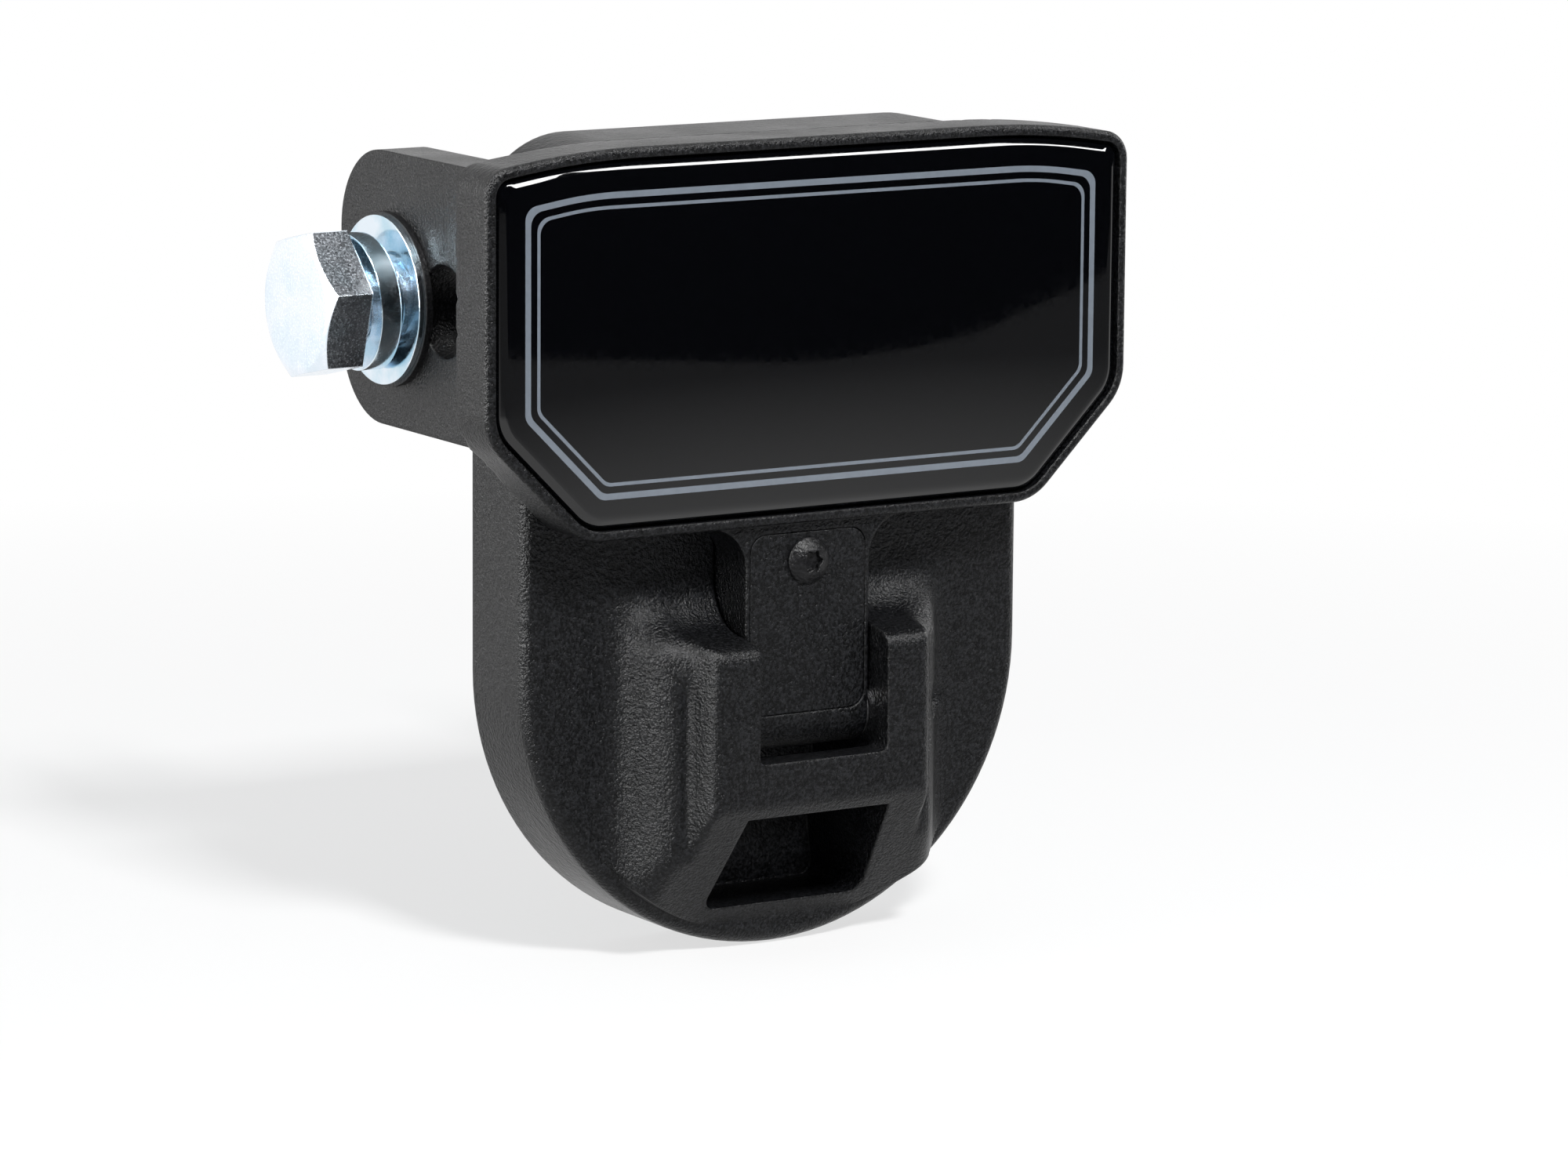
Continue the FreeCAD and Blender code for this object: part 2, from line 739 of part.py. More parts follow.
def make_hinge_screw():
    """Shoulder screw: thread in the left arm, shoulder through the neck, head in the right arm."""
    body = new_body("hinge_screw")
    thread = size.pin_thread_diameter / 2
    shoulder = size.pin_diameter / 2
    head = size.pin_head_diameter / 2
    seat = socket_half + size.pin_head_wall
    tip = -socket_half - size.pin_thread_length + size.side_clearance
    top = seat + size.pin_head_height
    turned(body, "hinge_screw_turned", [
        (tip, ZERO), (tip, thread), (-socket_half, thread), (-socket_half, shoulder),
        (seat, shoulder), (seat, head), (top, head), (top, ZERO)])
    cut_socket(
        body, "hinge_screw_socket", size.pin_diameter / 2, top, size.pin_head_height * PIN_SOCKET_SHARE, False)
    place(body, ZERO, hinge_y, hinge_z)
    return body


def ring(name, inner, outer, start, stop, back, up):
    """Plain washer turned round an axis along X."""
    body = new_body(name)
    turned(body, name + "_turned", [
        (start, inner / 2), (stop, inner / 2), (stop, outer / 2), (start, outer / 2)])
    place(body, ZERO, back, up)
    return body


def make_friction_washers():
    near = size.neck_width / 2 + size.side_clearance
    far = near + size.friction_washer_thickness
    bore = size.friction_washer_bore
    outer = size.friction_washer_diameter
    return [
        ring("friction_washer_left", bore, outer, -far, -near, hinge_y, hinge_z),
        ring("friction_washer_right", bore, outer, near, far, hinge_y, hinge_z)]


# Receiver bolt set

def make_flat_washers():
    """A black backing washer and a bright flat washer on each cheek."""
    made = []
    stack = (
        ("backing_washer", size.backing_washer_diameter, cheek_outer, size.backing_washer_thickness),
        ("flat_washer", size.flat_washer_diameter, cheek_outer + size.backing_washer_thickness,
         size.flat_washer_thickness))
    for name, outer, near, thickness in stack:
        far = near + thickness
        made.append(ring(
            name + "_left", size.washer_bore, outer, -far, -near, size.bolt_setback, ZERO))
        made.append(ring(
            name + "_right", size.washer_bore, outer, near, far, size.bolt_setback, ZERO))
    return made


stack_face = cheek_outer + size.backing_washer_thickness + size.flat_washer_thickness
spring_stack = size.spring_washer_thickness + size.spring_washer_rise
head_seat = -(stack_face + spring_stack)


def make_spring_washer():
    """Split ring that climbs by its rise in one turn."""
    body = new_body("spring_washer")
    sketch = body_sketch(body, "spring_washer_section", "XZ")
    inner = size.spring_washer_bore / 2
    outer = size.spring_washer_diameter / 2
    draw_outline(sketch, [
        (inner, ZERO), (outer, ZERO),
        (outer, size.spring_washer_thickness), (inner, size.spring_washer_thickness)])
    doc.recompute()
    coil = body.newObject("PartDesign::AdditiveHelix", "spring_washer_coil")
    coil.Profile = sketch
    coil.ReferenceAxis = (sketch, ["V_Axis"])
    coil.Mode = "height-turns-growth"
    turn = 1 - size.spring_washer_gap_angle / 360
    coil.setExpression("Height", size.spring_washer_rise.text)
    coil.setExpression("Turns", turn.text)
    body.Tip = coil
    # the ring starts on the side away from the plate and climbs outwards
    upright = FreeCAD.Rotation(FreeCAD.Vector(0, 1, 0), -90)
    body.Placement.Rotation = FreeCAD.Rotation(FreeCAD.Vector(1, 0, 0), -90).multiply(upright)
    place(body, -stack_face, size.bolt_setback, ZERO)
    return body


def make_hexed(name, height, turn):
    """Six-sided prism along X with both ends' corners turned off when asked."""
    body = new_body(name)
    sketch = body_sketch(body, name + "_hexagon", "YZ")
    draw_outline(sketch, hexagon(size.bolt_head_flats))
    pad = body.newObject("PartDesign::Pad", name + "_prism")
    pad.Profile = sketch
    pad.setExpression("Length", height.text)
    body.Tip = pad
    body.Placement.Rotation = FreeCAD.Rotation(FreeCAD.Vector(1, 0, 0), turn)
    return body


def turn_off_corners(body, name, face, inward):
    """Groove that bevels the six corners at one end of a hexagonal prism."""
    sketch = body_sketch(body, name + "_sketch", "XY")
    flat = size.bolt_head_flats / 2 * BEVEL_FACE_SHARE
    tip = size.bolt_head_flats * 2 / 3
    run = (tip - flat) * math.tan(math.radians(BEVEL_ANGLE)) * inward
    draw_outline(sketch, [(face, flat), (face, tip), (face + run, tip)])
    groove = body.newObject("PartDesign::Groove", name)
    groove.Profile = sketch
    groove.ReferenceAxis = (sketch, ["H_Axis"])
    groove.Angle = 360
    before = body.Shape.Volume
    body.Tip = groove
    doc.recompute()
    if body.Shape.Volume >= before:
        raise RuntimeError(name + " cut nothing")


def make_hex_bolt():
    body = make_hexed("hex_bolt", size.bolt_head_height, -size.bolt_head_turn.value)
    doc.recompute()
    turn_off_corners(body, "bolt_head_bevel", ZERO, 1)
    radius = size.bolt_diameter / 2
    seat = size.bolt_head_height
    tip = seat + size.bolt_length
    chamfer = size.bolt_end_chamfer
    shank_sketch = body_sketch(body, "bolt_shank_profile", "XY")
    draw_outline(shank_sketch, [
        (seat / 2, ZERO), (seat / 2, radius), (tip - chamfer, radius),
        (tip, radius - chamfer), (tip, ZERO)])
    shank = body.newObject("PartDesign::Revolution", "bolt_shank")
    shank.Profile = shank_sketch
    shank.ReferenceAxis = (shank_sketch, ["H_Axis"])
    shank.Angle = 360
    body.Tip = shank
    place(body, head_seat - size.bolt_head_height, size.bolt_setback, ZERO)
    return body


def make_hex_nut():
    body = make_hexed("hex_nut", size.nut_height, size.bolt_head_turn.value)
    doc.recompute()
    turn_off_corners(body, "nut_bevel_inner", ZERO, 1)
    turn_off_corners(body, "nut_bevel_outer", size.nut_height, -1)
    bore_sketch = body_sketch(body, "nut_bore_sketch", "YZ")
    draw_circle(bore_sketch, ZERO, ZERO, size.bolt_diameter / 2 + size.thread_clearance)
    before = body.Shape.Volume
    bore = body.newObject("PartDesign::Pocket", "nut_bore")
    bore.Profile = bore_sketch
    bore.Type = "ThroughAll"
    bore.Midplane = True
    body.Tip = bore
    doc.recompute()
    if body.Shape.Volume >= before:
        raise RuntimeError("the nut's bore cut nothing")
    place(body, stack_face, size.bolt_setback, ZERO)
    return body


# The whole part

nodes = [make_bracket(), make_step()]
nodes += make_badge()
nodes += [make_cover(), make_neck_screw(), make_hinge_screw()]
nodes += make_friction_washers()
nodes += make_flat_washers()
nodes += [make_spring_washer(), make_hex_bolt(), make_hex_nut()]
doc.recompute()

for thing in doc.Objects:
    if "Invalid" in thing.State or "Error" in thing.State:
        raise RuntimeError("%s did not compute: %s" % (thing.Name, thing.State))
os.makedirs("parts", exist_ok=True)
for node in nodes:
    node.Label = node.Name
    shape = node.Shape
    if shape.isNull() or not shape.isValid() or not shape.Solids:
        raise RuntimeError(node.Name + " has no valid solid")
    shape.exportStep(os.path.join("parts", node.Name + ".step"))
    box = shape.optimalBoundingBox()
    print("%-24s solids %d volume %9.1f mm3 faces %4d  x %7.2f %7.2f  y %7.2f %7.2f  z %7.2f %7.2f" % (
        node.Name, len(shape.Solids), shape.Volume, len(shape.Faces),
        box.XMin, box.XMax, box.YMin, box.YMax, box.ZMin, box.ZMax))
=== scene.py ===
# %% [markdown]
# Folding hitch step, dressed for the camera. Each finish and each finer piece is then
# laid over them, and the solids are never moved. The step is shown folded up, the way it
# travels.

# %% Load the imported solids
import json
import math

import bmesh
import bpy
from mathutils import Matrix, Vector

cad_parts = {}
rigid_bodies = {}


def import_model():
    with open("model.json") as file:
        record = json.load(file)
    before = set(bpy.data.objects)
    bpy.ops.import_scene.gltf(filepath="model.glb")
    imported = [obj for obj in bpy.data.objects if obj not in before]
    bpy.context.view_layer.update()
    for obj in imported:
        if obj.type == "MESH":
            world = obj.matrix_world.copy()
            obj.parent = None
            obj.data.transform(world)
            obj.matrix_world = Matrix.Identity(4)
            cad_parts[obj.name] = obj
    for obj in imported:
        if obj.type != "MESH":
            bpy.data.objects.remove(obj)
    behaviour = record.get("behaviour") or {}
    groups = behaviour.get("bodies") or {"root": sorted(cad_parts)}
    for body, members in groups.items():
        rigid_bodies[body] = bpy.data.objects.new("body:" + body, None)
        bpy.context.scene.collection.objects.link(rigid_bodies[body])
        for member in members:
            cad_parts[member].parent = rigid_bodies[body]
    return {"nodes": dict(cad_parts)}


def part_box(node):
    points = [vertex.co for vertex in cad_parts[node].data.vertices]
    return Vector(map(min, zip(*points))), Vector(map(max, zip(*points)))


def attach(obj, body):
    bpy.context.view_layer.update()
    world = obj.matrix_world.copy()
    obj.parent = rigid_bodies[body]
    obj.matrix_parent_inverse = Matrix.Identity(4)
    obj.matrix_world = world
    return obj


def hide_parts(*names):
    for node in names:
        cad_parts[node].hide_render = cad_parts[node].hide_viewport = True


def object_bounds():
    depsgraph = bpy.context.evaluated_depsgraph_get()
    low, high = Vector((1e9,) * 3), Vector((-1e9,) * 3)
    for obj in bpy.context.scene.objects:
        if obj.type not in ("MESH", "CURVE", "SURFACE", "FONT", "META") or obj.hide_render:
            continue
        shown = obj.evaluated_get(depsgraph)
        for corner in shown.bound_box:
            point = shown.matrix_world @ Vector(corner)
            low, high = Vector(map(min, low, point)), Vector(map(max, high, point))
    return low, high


for leftover in list(bpy.data.objects):
    bpy.data.objects.remove(leftover)
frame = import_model()
nodes = frame["nodes"]
cad_low, cad_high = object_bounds()
print("solid pieces:", len(nodes))

# %% [markdown]
# The camera stands low in front and to the left, with a long lens that keeps the edges nearly
# parallel. It could be aimed with a tracking constraint, but three angles say more plainly
# where it looks. So its axes are worked out here from the heading, the drop and a slight roll.

# %% Set up the camera
CAMERA_HEADING = math.radians(31.97)
CAMERA_DROP = math.radians(10.13)
CAMERA_ROLL = math.radians(-0.45)
CAMERA_PLACE = Vector((-0.6079, -0.9944, 0.1578))
LENS_MM = 153.4
SENSOR_MM = 36

look = Vector((
    math.sin(CAMERA_HEADING) * math.cos(CAMERA_DROP),
    math.cos(CAMERA_HEADING) * math.cos(CAMERA_DROP),
    -math.sin(CAMERA_DROP)))
level_right = Vector((math.cos(CAMERA_HEADING), -math.sin(CAMERA_HEADING), 0))
level_up = level_right.cross(look)
turn = Matrix.Rotation(CAMERA_ROLL, 3, look)
side = turn @ level_right
up = turn @ level_up
camera_data = bpy.data.cameras.new("camera")
camera_data.lens = LENS_MM
camera_data.sensor_width = SENSOR_MM
camera = bpy.data.objects.new("camera", camera_data)
axes = Matrix((side, up, -look)).transposed().to_4x4()
camera.matrix_world = Matrix.Translation(CAMERA_PLACE) @ axes
bpy.context.scene.collection.objects.link(camera)
bpy.context.scene.camera = camera
bpy.context.scene.view_settings.view_transform = "Standard"
print("camera is", round(CAMERA_PLACE.length, 2), "m from the middle of the receiver's mouth")

# %% [markdown]
# Most finishes share a few effects. Each is a shader node group: a small tool with named
# inputs and outputs that any material can use with its own values.
# The first helper here makes an empty group with its sockets, and the others add and wire nodes.
# A noise hardly leaves the middle of its range, so most masks are stretched from there.

# %% Helpers for shader nodes
NOISE_LOW = 0.3
NOISE_HIGH = 0.7


def new_group(name, inputs, outputs):
    """Empty shader group; inputs are (name, kind, default), outputs are (name, kind)."""
    group = bpy.data.node_groups.new(name, "ShaderNodeTree")
    for label, kind, value in inputs:
        socket = group.interface.new_socket(
            label, in_out="INPUT", socket_type="NodeSocket" + kind)
        socket.default_value = value
    for label, kind in outputs:
        group.interface.new_socket(
            label, in_out="OUTPUT", socket_type="NodeSocket" + kind)
    entry = group.nodes.new("NodeGroupInput")
    leave = group.nodes.new("NodeGroupOutput")
    return group, entry.outputs, leave.inputs


def add_node(tree, kind, links=(), **settings):
    """Node of a kind; settings are its properties, links are (input, value or socket)."""
    node = tree.nodes.new("ShaderNode" + kind)
    for key, value in settings.items():
        setattr(node, key, value)
    for where, what in links:
        if isinstance(what, bpy.types.NodeSocket):
            tree.links.new(what, node.inputs[where])
        else:
            node.inputs[where].default_value = what
    return node


def blend_colours(tree, factor, first, second):
    """Mix of two colours by a factor."""
    mix = tree.nodes.new("ShaderNodeMix")
    mix.data_type = "RGBA"
    for index, what in ((0, factor), (6, first), (7, second)):
        if isinstance(what, bpy.types.NodeSocket):
            tree.links.new(what, mix.inputs[index])
        else:
            mix.inputs[index].default_value = what
    return mix.outputs[2]


def spread(tree, source, low, high, from_low=0.0, from_high=1.0):
    """Rescale a mask to run from low to high."""
    node = add_node(tree, "MapRange", [
        (0, source), (1, from_low), (2, from_high), (3, low), (4, high)])
    return node.outputs[0]


def calculate(tree, operation, first, second):
    """Result of one sum on two values or sockets."""
    return add_node(tree, "Math", [(0, first), (1, second)], operation=operation).outputs[0]


def noise(tree, spot, scale, detail, roughness=0.5):
    """Cloudy mask over a surface; a larger scale makes it finer."""
    node = add_node(tree, "TexNoise", [
        ("Vector", spot), ("Scale", scale), ("Detail", detail), ("Roughness", roughness)])
    return node.outputs["Fac"]


print("helpers ready")

# %% [markdown]
# Powder coat starts as dry powder that melts in an oven, so its skin is a fine, even pebble.
# A photo of it could be wrapped round the part, but noise in the object's own space has no
# seams. Two sizes of noise make the pebble, and a slow one varies the sheen a little.

# %% Powder-coat group
COARSE_SHARE = 0.38
COARSE_WEIGHT = 0.5
FLECK_FROM = 0.42
FLECK_TO = 0.72
SHEEN_SCALE = 60.0
SHEEN_DRIFT = 0.05


def make_powder_group():
    """Group that gives the powder coat's colour, roughness and height."""
    group, entry, leave = new_group(
        "powder_grain",
        [("Grain Size", "Float", 0.00040), ("Colour", "Color", (0.03, 0.03, 0.032, 1)),
         ("Fleck", "Color", (0.06, 0.06, 0.064, 1)), ("Roughness", "Float", 0.5)],
        [("Colour", "Color"), ("Roughness", "Float"), ("Height", "Float")])
    spot = add_node(group, "TexCoord").outputs["Object"]
    scale = calculate(group, "DIVIDE", 1.0, entry["Grain Size"])
    pebble = noise(group, spot, scale, 2.0, 0.6)
    coarse = noise(group, spot, calculate(group, "MULTIPLY", scale, COARSE_SHARE), 1.0)
    slow = noise(group, spot, SHEEN_SCALE, 2.0)
    swell_height = calculate(group, "MULTIPLY", coarse, COARSE_WEIGHT)
    height = calculate(group, "ADD", pebble, swell_height)
    flecks = spread(group, pebble, 0.0, 1.0, FLECK_FROM, FLECK_TO)
    colour = blend_colours(group, flecks, entry["Colour"], entry["Fleck"])
    drift = spread(group, slow, -SHEEN_DRIFT, SHEEN_DRIFT, NOISE_LOW, NOISE_HIGH)
    group.links.new(colour, leave["Colour"])
    group.links.new(calculate(group, "ADD", entry["Roughness"], drift), leave["Roughness"])
    group.links.new(height, leave["Height"])
    return group


powder_grain = make_powder_group()
print("group", powder_grain.name)

# %% [markdown]
# Zinc plating is bright but not a mirror: a bluish passivated skin with soft cloudy patches.
# Its colour could be one flat value, but then every flat would reflect alike. So the group
# blends two colours by a cloudy mask, and adds a fine grain.

# %% Zinc-plate group
CLOUD_SCALE = 140.0
CLOUD_MOST = 0.7
CLOUD_FROM = 0.40
CLOUD_TO = 0.66
PLATE_GRAIN_SCALE = 2600.0
GRAIN_SMOOTH = -0.06
GRAIN_MATT = 0.10


def make_zinc_group():
    """Group that gives the plated metal's colour, roughness and height."""
    group, entry, leave = new_group(
        "zinc_skin",
        [("Bright", "Color", (0.84, 0.89, 0.97, 1)), ("Blue", "Color", (0.66, 0.80, 0.89, 1)),
         ("Roughness", "Float", 0.24)],
        [("Colour", "Color"), ("Roughness", "Float"), ("Height", "Float")])
    spot = add_node(group, "TexCoord").outputs["Object"]
    cloud = noise(group, spot, CLOUD_SCALE, 3.0, 0.55)
    grain = noise(group, spot, PLATE_GRAIN_SCALE, 2.0, 0.6)
    patches = spread(group, cloud, 0.0, CLOUD_MOST, CLOUD_FROM, CLOUD_TO)
    colour = blend_colours(group, patches, entry["Bright"], entry["Blue"])
    matt = spread(group, grain, GRAIN_SMOOTH, GRAIN_MATT, NOISE_LOW, NOISE_HIGH)
    group.links.new(colour, leave["Colour"])
    group.links.new(calculate(group, "ADD", entry["Roughness"], matt), leave["Roughness"])
    group.links.new(grain, leave["Height"])
    return group


zinc_skin = make_zinc_group()
print("group", zinc_skin.name)

# %% [markdown]
# Cast and coated edges are never sharp. Rounding every edge in the mesh would be heavy,
# so a bevel node bends the shading normal over the last part of a millimetre of each edge.
# The grain's bump then sits on top of that softened normal.

# %% Materials from the groups
BEVEL_SAMPLES = 8
GRAIN_SIZE = 0.00050
GRAIN_DEPTH = 0.00031
COAT_SPECULAR = 0.17
METAL_DEPTH = 0.00003


def new_material(name):
    """Material with its node tree and its Principled shader."""
    material = bpy.data.materials.new(name)
    material.use_nodes = True
    shader = material.node_tree.nodes["Principled BSDF"]
    return material, material.node_tree, shader


def grained(name, group, values, edge_radius, relief, depth, metallic=0.0, specular=0.5):
    """Principled material whose colour, roughness and relief come from one of the groups."""
    material, tree, shader = new_material(name)
    skin = tree.nodes.new("ShaderNodeGroup")
    skin.node_tree = group
    for key, value in values.items():
        skin.inputs[key].default_value = value
    soft = add_node(tree, "Bevel", [("Radius", edge_radius)], samples=BEVEL_SAMPLES)
    bump = add_node(tree, "Bump", [
        ("Strength", relief), ("Distance", depth),
        ("Height", skin.outputs["Height"]), ("Normal", soft.outputs[0])])
    tree.links.new(skin.outputs["Colour"], shader.inputs["Base Color"])
    tree.links.new(skin.outputs["Roughness"], shader.inputs["Roughness"])
    tree.links.new(bump.outputs[0], shader.inputs["Normal"])
    shader.inputs["Metallic"].default_value = metallic
    shader.inputs["Specular IOR Level"].default_value = specular
    return material


def powder(name, colour, fleck, rough, edge_radius=0.0008, relief=0.9):
    """Black coat or oxide with the grain of the powder group."""
    values = {"Grain Size": GRAIN_SIZE, "Colour": colour, "Fleck": fleck, "Roughness": rough}
    return grained(
        name, powder_grain, values, edge_radius, relief, GRAIN_DEPTH, specular=COAT_SPECULAR)


def bare_metal(name, bright, blue, rough, relief, edge_radius=0.0003):
    """Metal with the clouds of the zinc group, in its own two colours."""
    values = {"Bright": bright + (1,), "Blue": blue + (1,), "Roughness": rough}
    return grained(name, zinc_skin, values, edge_radius, relief, METAL_DEPTH, metallic=1.0)


COAT = (0.0010, 0.0011, 0.0014, 1)
COAT_FLECK = (0.015, 0.0155, 0.0175, 1)
DULL = (0.004, 0.004, 0.0044, 1)
DULL_FLECK = (0.014, 0.014, 0.0155, 1)
bracket_coat = powder("bracket_coat", COAT, COAT_FLECK, 0.32)
step_coat = powder("step_coat", COAT, COAT_FLECK, 0.32)
cover_coat = powder("cover_coat", COAT, COAT_FLECK, 0.36, 0.0003)
black_oxide = powder("black_oxide", DULL, DULL_FLECK, 0.34, 0.0002, 0.5)
badge_backing = powder("badge_backing", DULL, DULL_FLECK, 0.5, 0.0002, 0.5)
zinc_forged = bare_metal("zinc_forged", (0.84, 0.89, 0.96), (0.68, 0.80, 0.88), 0.20, 0.9)
zinc_plate = bare_metal("zinc_plate", (0.78, 0.86, 0.93), (0.44, 0.67, 0.79), 0.12, 0.12)
spring_steel = bare_metal(
    "spring_steel", (0.42, 0.42, 0.43), (0.3, 0.3, 0.32), 0.32, 0.1, 0.0001)
print("materials:", len(bpy.data.materials))

# %% [markdown]
# The solids whose shape is already right only need their finish.
# A table of piece to finish keeps that in one place.

# %% Give the solids their finishes
FINISHES = {
    "mount_bracket": bracket_coat,
    "step_casting": step_coat,
    "badge_plate": badge_backing,
    "badge_dome": badge_backing,
    "neck_cover": cover_coat,
    "neck_screw": black_oxide,
    "hinge_screw": black_oxide,
    "friction_washer_left": spring_steel,
    "friction_washer_right": spring_steel,
    "backing_washer_left": black_oxide,
    "backing_washer_right": black_oxide,
    "flat_washer_left": zinc_plate,
    "flat_washer_right": zinc_plate,
    "spring_washer": zinc_plate,
    "hex_bolt": zinc_plate,
    "hex_nut": zinc_plate,
}
for node_name, finish in FINISHES.items():
    node = nodes[node_name]
    node.data.materials.clear()
    node.data.materials.append(finish)
print("finished solids:", len(FINISHES))

# %% [markdown]
# The finer pieces are all made as plain lists of points and faces. Blender's primitives and
# modifiers could start some of them, but points worked out in code follow the solids' measures.

# %% Helper that makes a mesh object
def mesh_object(name, points, faces):
    """Object in the scene whose mesh has these points and faces."""
    mesh = bpy.data.meshes.new(name)
    mesh.from_pydata([tuple(p) for p in points], [], faces)
    mesh.update()
    made = bpy.data.objects.new(name, mesh)
    bpy.context.scene.collection.objects.link(made)
    return made


print("mesh helper ready")

# %% [markdown]
# On the real casting the socket melts into the plate: its top edges are rounded off, and
# the ridges and valleys where its forms cross are soft. Fillets would need clean edge loops,
# which a mesh from solids lacks. So the socket's front is described as a height over the
# plate, and that height is blurred, most where the photo shows the softest forms.

# %% Blur the socket's height
HEIGHT_STEP = 0.0005
FINE_BLUR = 0.0006
BROAD_BLUR = 0.0020
FIELD_X = 0.037
FIELD_LOW = -0.1085
FIELD_HIGH = -0.0400
bracket_low, bracket_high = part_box("mount_bracket")
PLATE_FRONT = -0.0182
ARM_TOP = -0.0537
ARM_OUTER = 0.0231
ARM_SIDE_RADIUS = 0.003
ARM_TOP_RADIUS = 0.0035
STAGE_OUTER = 0.0300
STAGE_RISE = 0.0093
STAGE_RADIUS = 0.0044
FOOT_RADIUS = 0.0045
SHOULDER_RADIUS = 0.009
LEG_KNEE = -0.0827
LEG_FOOT = -0.1062
TOP_EASE = (ARM_TOP - 0.012, ARM_TOP - 0.004)
ARM_EASE = (ARM_OUTER - 0.002, ARM_OUTER + 0.002)
STAGE_EASE = (STAGE_OUTER - 0.007, STAGE_OUTER - 0.002)
arm_rise = PLATE_FRONT - bracket_low.y


def quarter(radius, along):
    """Height of a quarter circle of a radius at a distance from its centre."""
    return math.sqrt(max(0.0, radius * radius - along * along))


def height_across(x):
    """Height of the arms, stage and foot over the plate, from the middle outwards."""
    x = abs(x)
    if x < ARM_OUTER - ARM_SIDE_RADIUS:
        return arm_rise
    if x < ARM_OUTER:
        return arm_rise - ARM_SIDE_RADIUS + quarter(
            ARM_SIDE_RADIUS, x - ARM_OUTER + ARM_SIDE_RADIUS)
    if x < STAGE_OUTER - STAGE_RADIUS:
        return STAGE_RISE
    if x < STAGE_OUTER:
        return STAGE_RISE - STAGE_RADIUS + quarter(
            STAGE_RADIUS, x - STAGE_OUTER + STAGE_RADIUS)
    if x < STAGE_OUTER + FOOT_RADIUS:
        return FOOT_RADIUS - quarter(FOOT_RADIUS, STAGE_OUTER + FOOT_RADIUS - x)
    return 0.0


def height_up(z):
    """Height of the same forms over the plate, from the legs' foot to the shoulder."""
    if z < LEG_KNEE:
        return arm_rise * max(0.0, (z - LEG_FOOT) / (LEG_KNEE - LEG_FOOT))
    if z < ARM_TOP - ARM_TOP_RADIUS:
        return arm_rise
    if z < ARM_TOP:
        return arm_rise - ARM_TOP_RADIUS + quarter(
            ARM_TOP_RADIUS, z - ARM_TOP + ARM_TOP_RADIUS)
    if z < ARM_TOP + SHOULDER_RADIUS:
        return SHOULDER_RADIUS - quarter(SHOULDER_RADIUS, ARM_TOP + SHOULDER_RADIUS - z)
    return 0.0


def blur_line(values, weights):
    """One row of heights with each value averaged over its neighbours."""
    reach = len(weights) // 2
    last = len(values) - 1
    return [
        sum(w * values[min(max(i + k - reach, 0), last)] for k, w in enumerate(weights))
        for i in range(len(values))]


def blurred(field, width):
    """Field of heights blurred both ways by a bell curve of a width."""
    reach = math.ceil(3 * width / HEIGHT_STEP)
    weights = [
        math.exp(-((k * HEIGHT_STEP / width) ** 2) / 2) for k in range(-reach, reach + 1)]
    total = sum(weights)
    weights = [w / total for w in weights]
    rows = [blur_line(row, weights) for row in field]
    return list(zip(*[blur_line(column, weights) for column in zip(*rows)]))


def ease(value, low, high):
    """Smooth step from 0 at low to 1 at high."""
    t = min(1.0, max(0.0, (value - low) / (high - low)))
    return t * t * (3 - 2 * t)


def soft_heights():
    """Sample places, plain heights and soft heights, softest on the stage's side and top."""
    columns = round(FIELD_X * 2 / HEIGHT_STEP)
    rows = round((FIELD_HIGH - FIELD_LOW) / HEIGHT_STEP)
    xs = [-FIELD_X + HEIGHT_STEP * i for i in range(columns + 1)]
    zs = [FIELD_LOW + HEIGHT_STEP * i for i in range(rows + 1)]
    across = [height_across(x) for x in xs]
    plain = [[min(a, height_up(z)) for a in across] for z in zs]
    fine = blurred(plain, FINE_BLUR)
    broad = blurred(plain, BROAD_BLUR)
    soft = []
    for z, fine_row, broad_row in zip(zs, fine, broad):
        row = []
        for x, fine_height, broad_height in zip(xs, fine_row, broad_row):
            top_share = ease(z, *TOP_EASE) * ease(abs(x), *ARM_EASE)
            share = max(top_share, ease(abs(x), *STAGE_EASE))
            row.append(fine_height + (broad_height - fine_height) * share)
        soft.append(row)
    return xs, zs, plain, soft


field_xs, field_zs, plain_field, soft_field = soft_heights()
print("height samples:", len(field_xs) * len(field_zs))

# %% [markdown]
# A boolean can only take away or add, and a blur does both. So a thin layer that reaches up to
# the soft height is first joined to a copy of the casting, and then a block of air above
# that height is taken off. The layer stays clear of the slot, the opening and the pin's hole.
# Weighted normals then keep flats flat next to the soft forms.

# %% Reshape the socket
SKIN_OVER = 0.00005
SKIN_GAP = 0.00002
SKIN_UNDER = 0.0004
WELD_DISTANCE = 0.000001
SLOT_CLEAR = 0.0133
DRAIN_CLEAR = 0.0175
DRAIN_TOP = -0.0840
RIM_CLEAR = 0.0030
AIR_FRONT = 0.004
PIN_HOLE_START = 0.0248
PIN_HOLE_RADIUS = 0.0043
PIN_HOLE_SIDES = 48


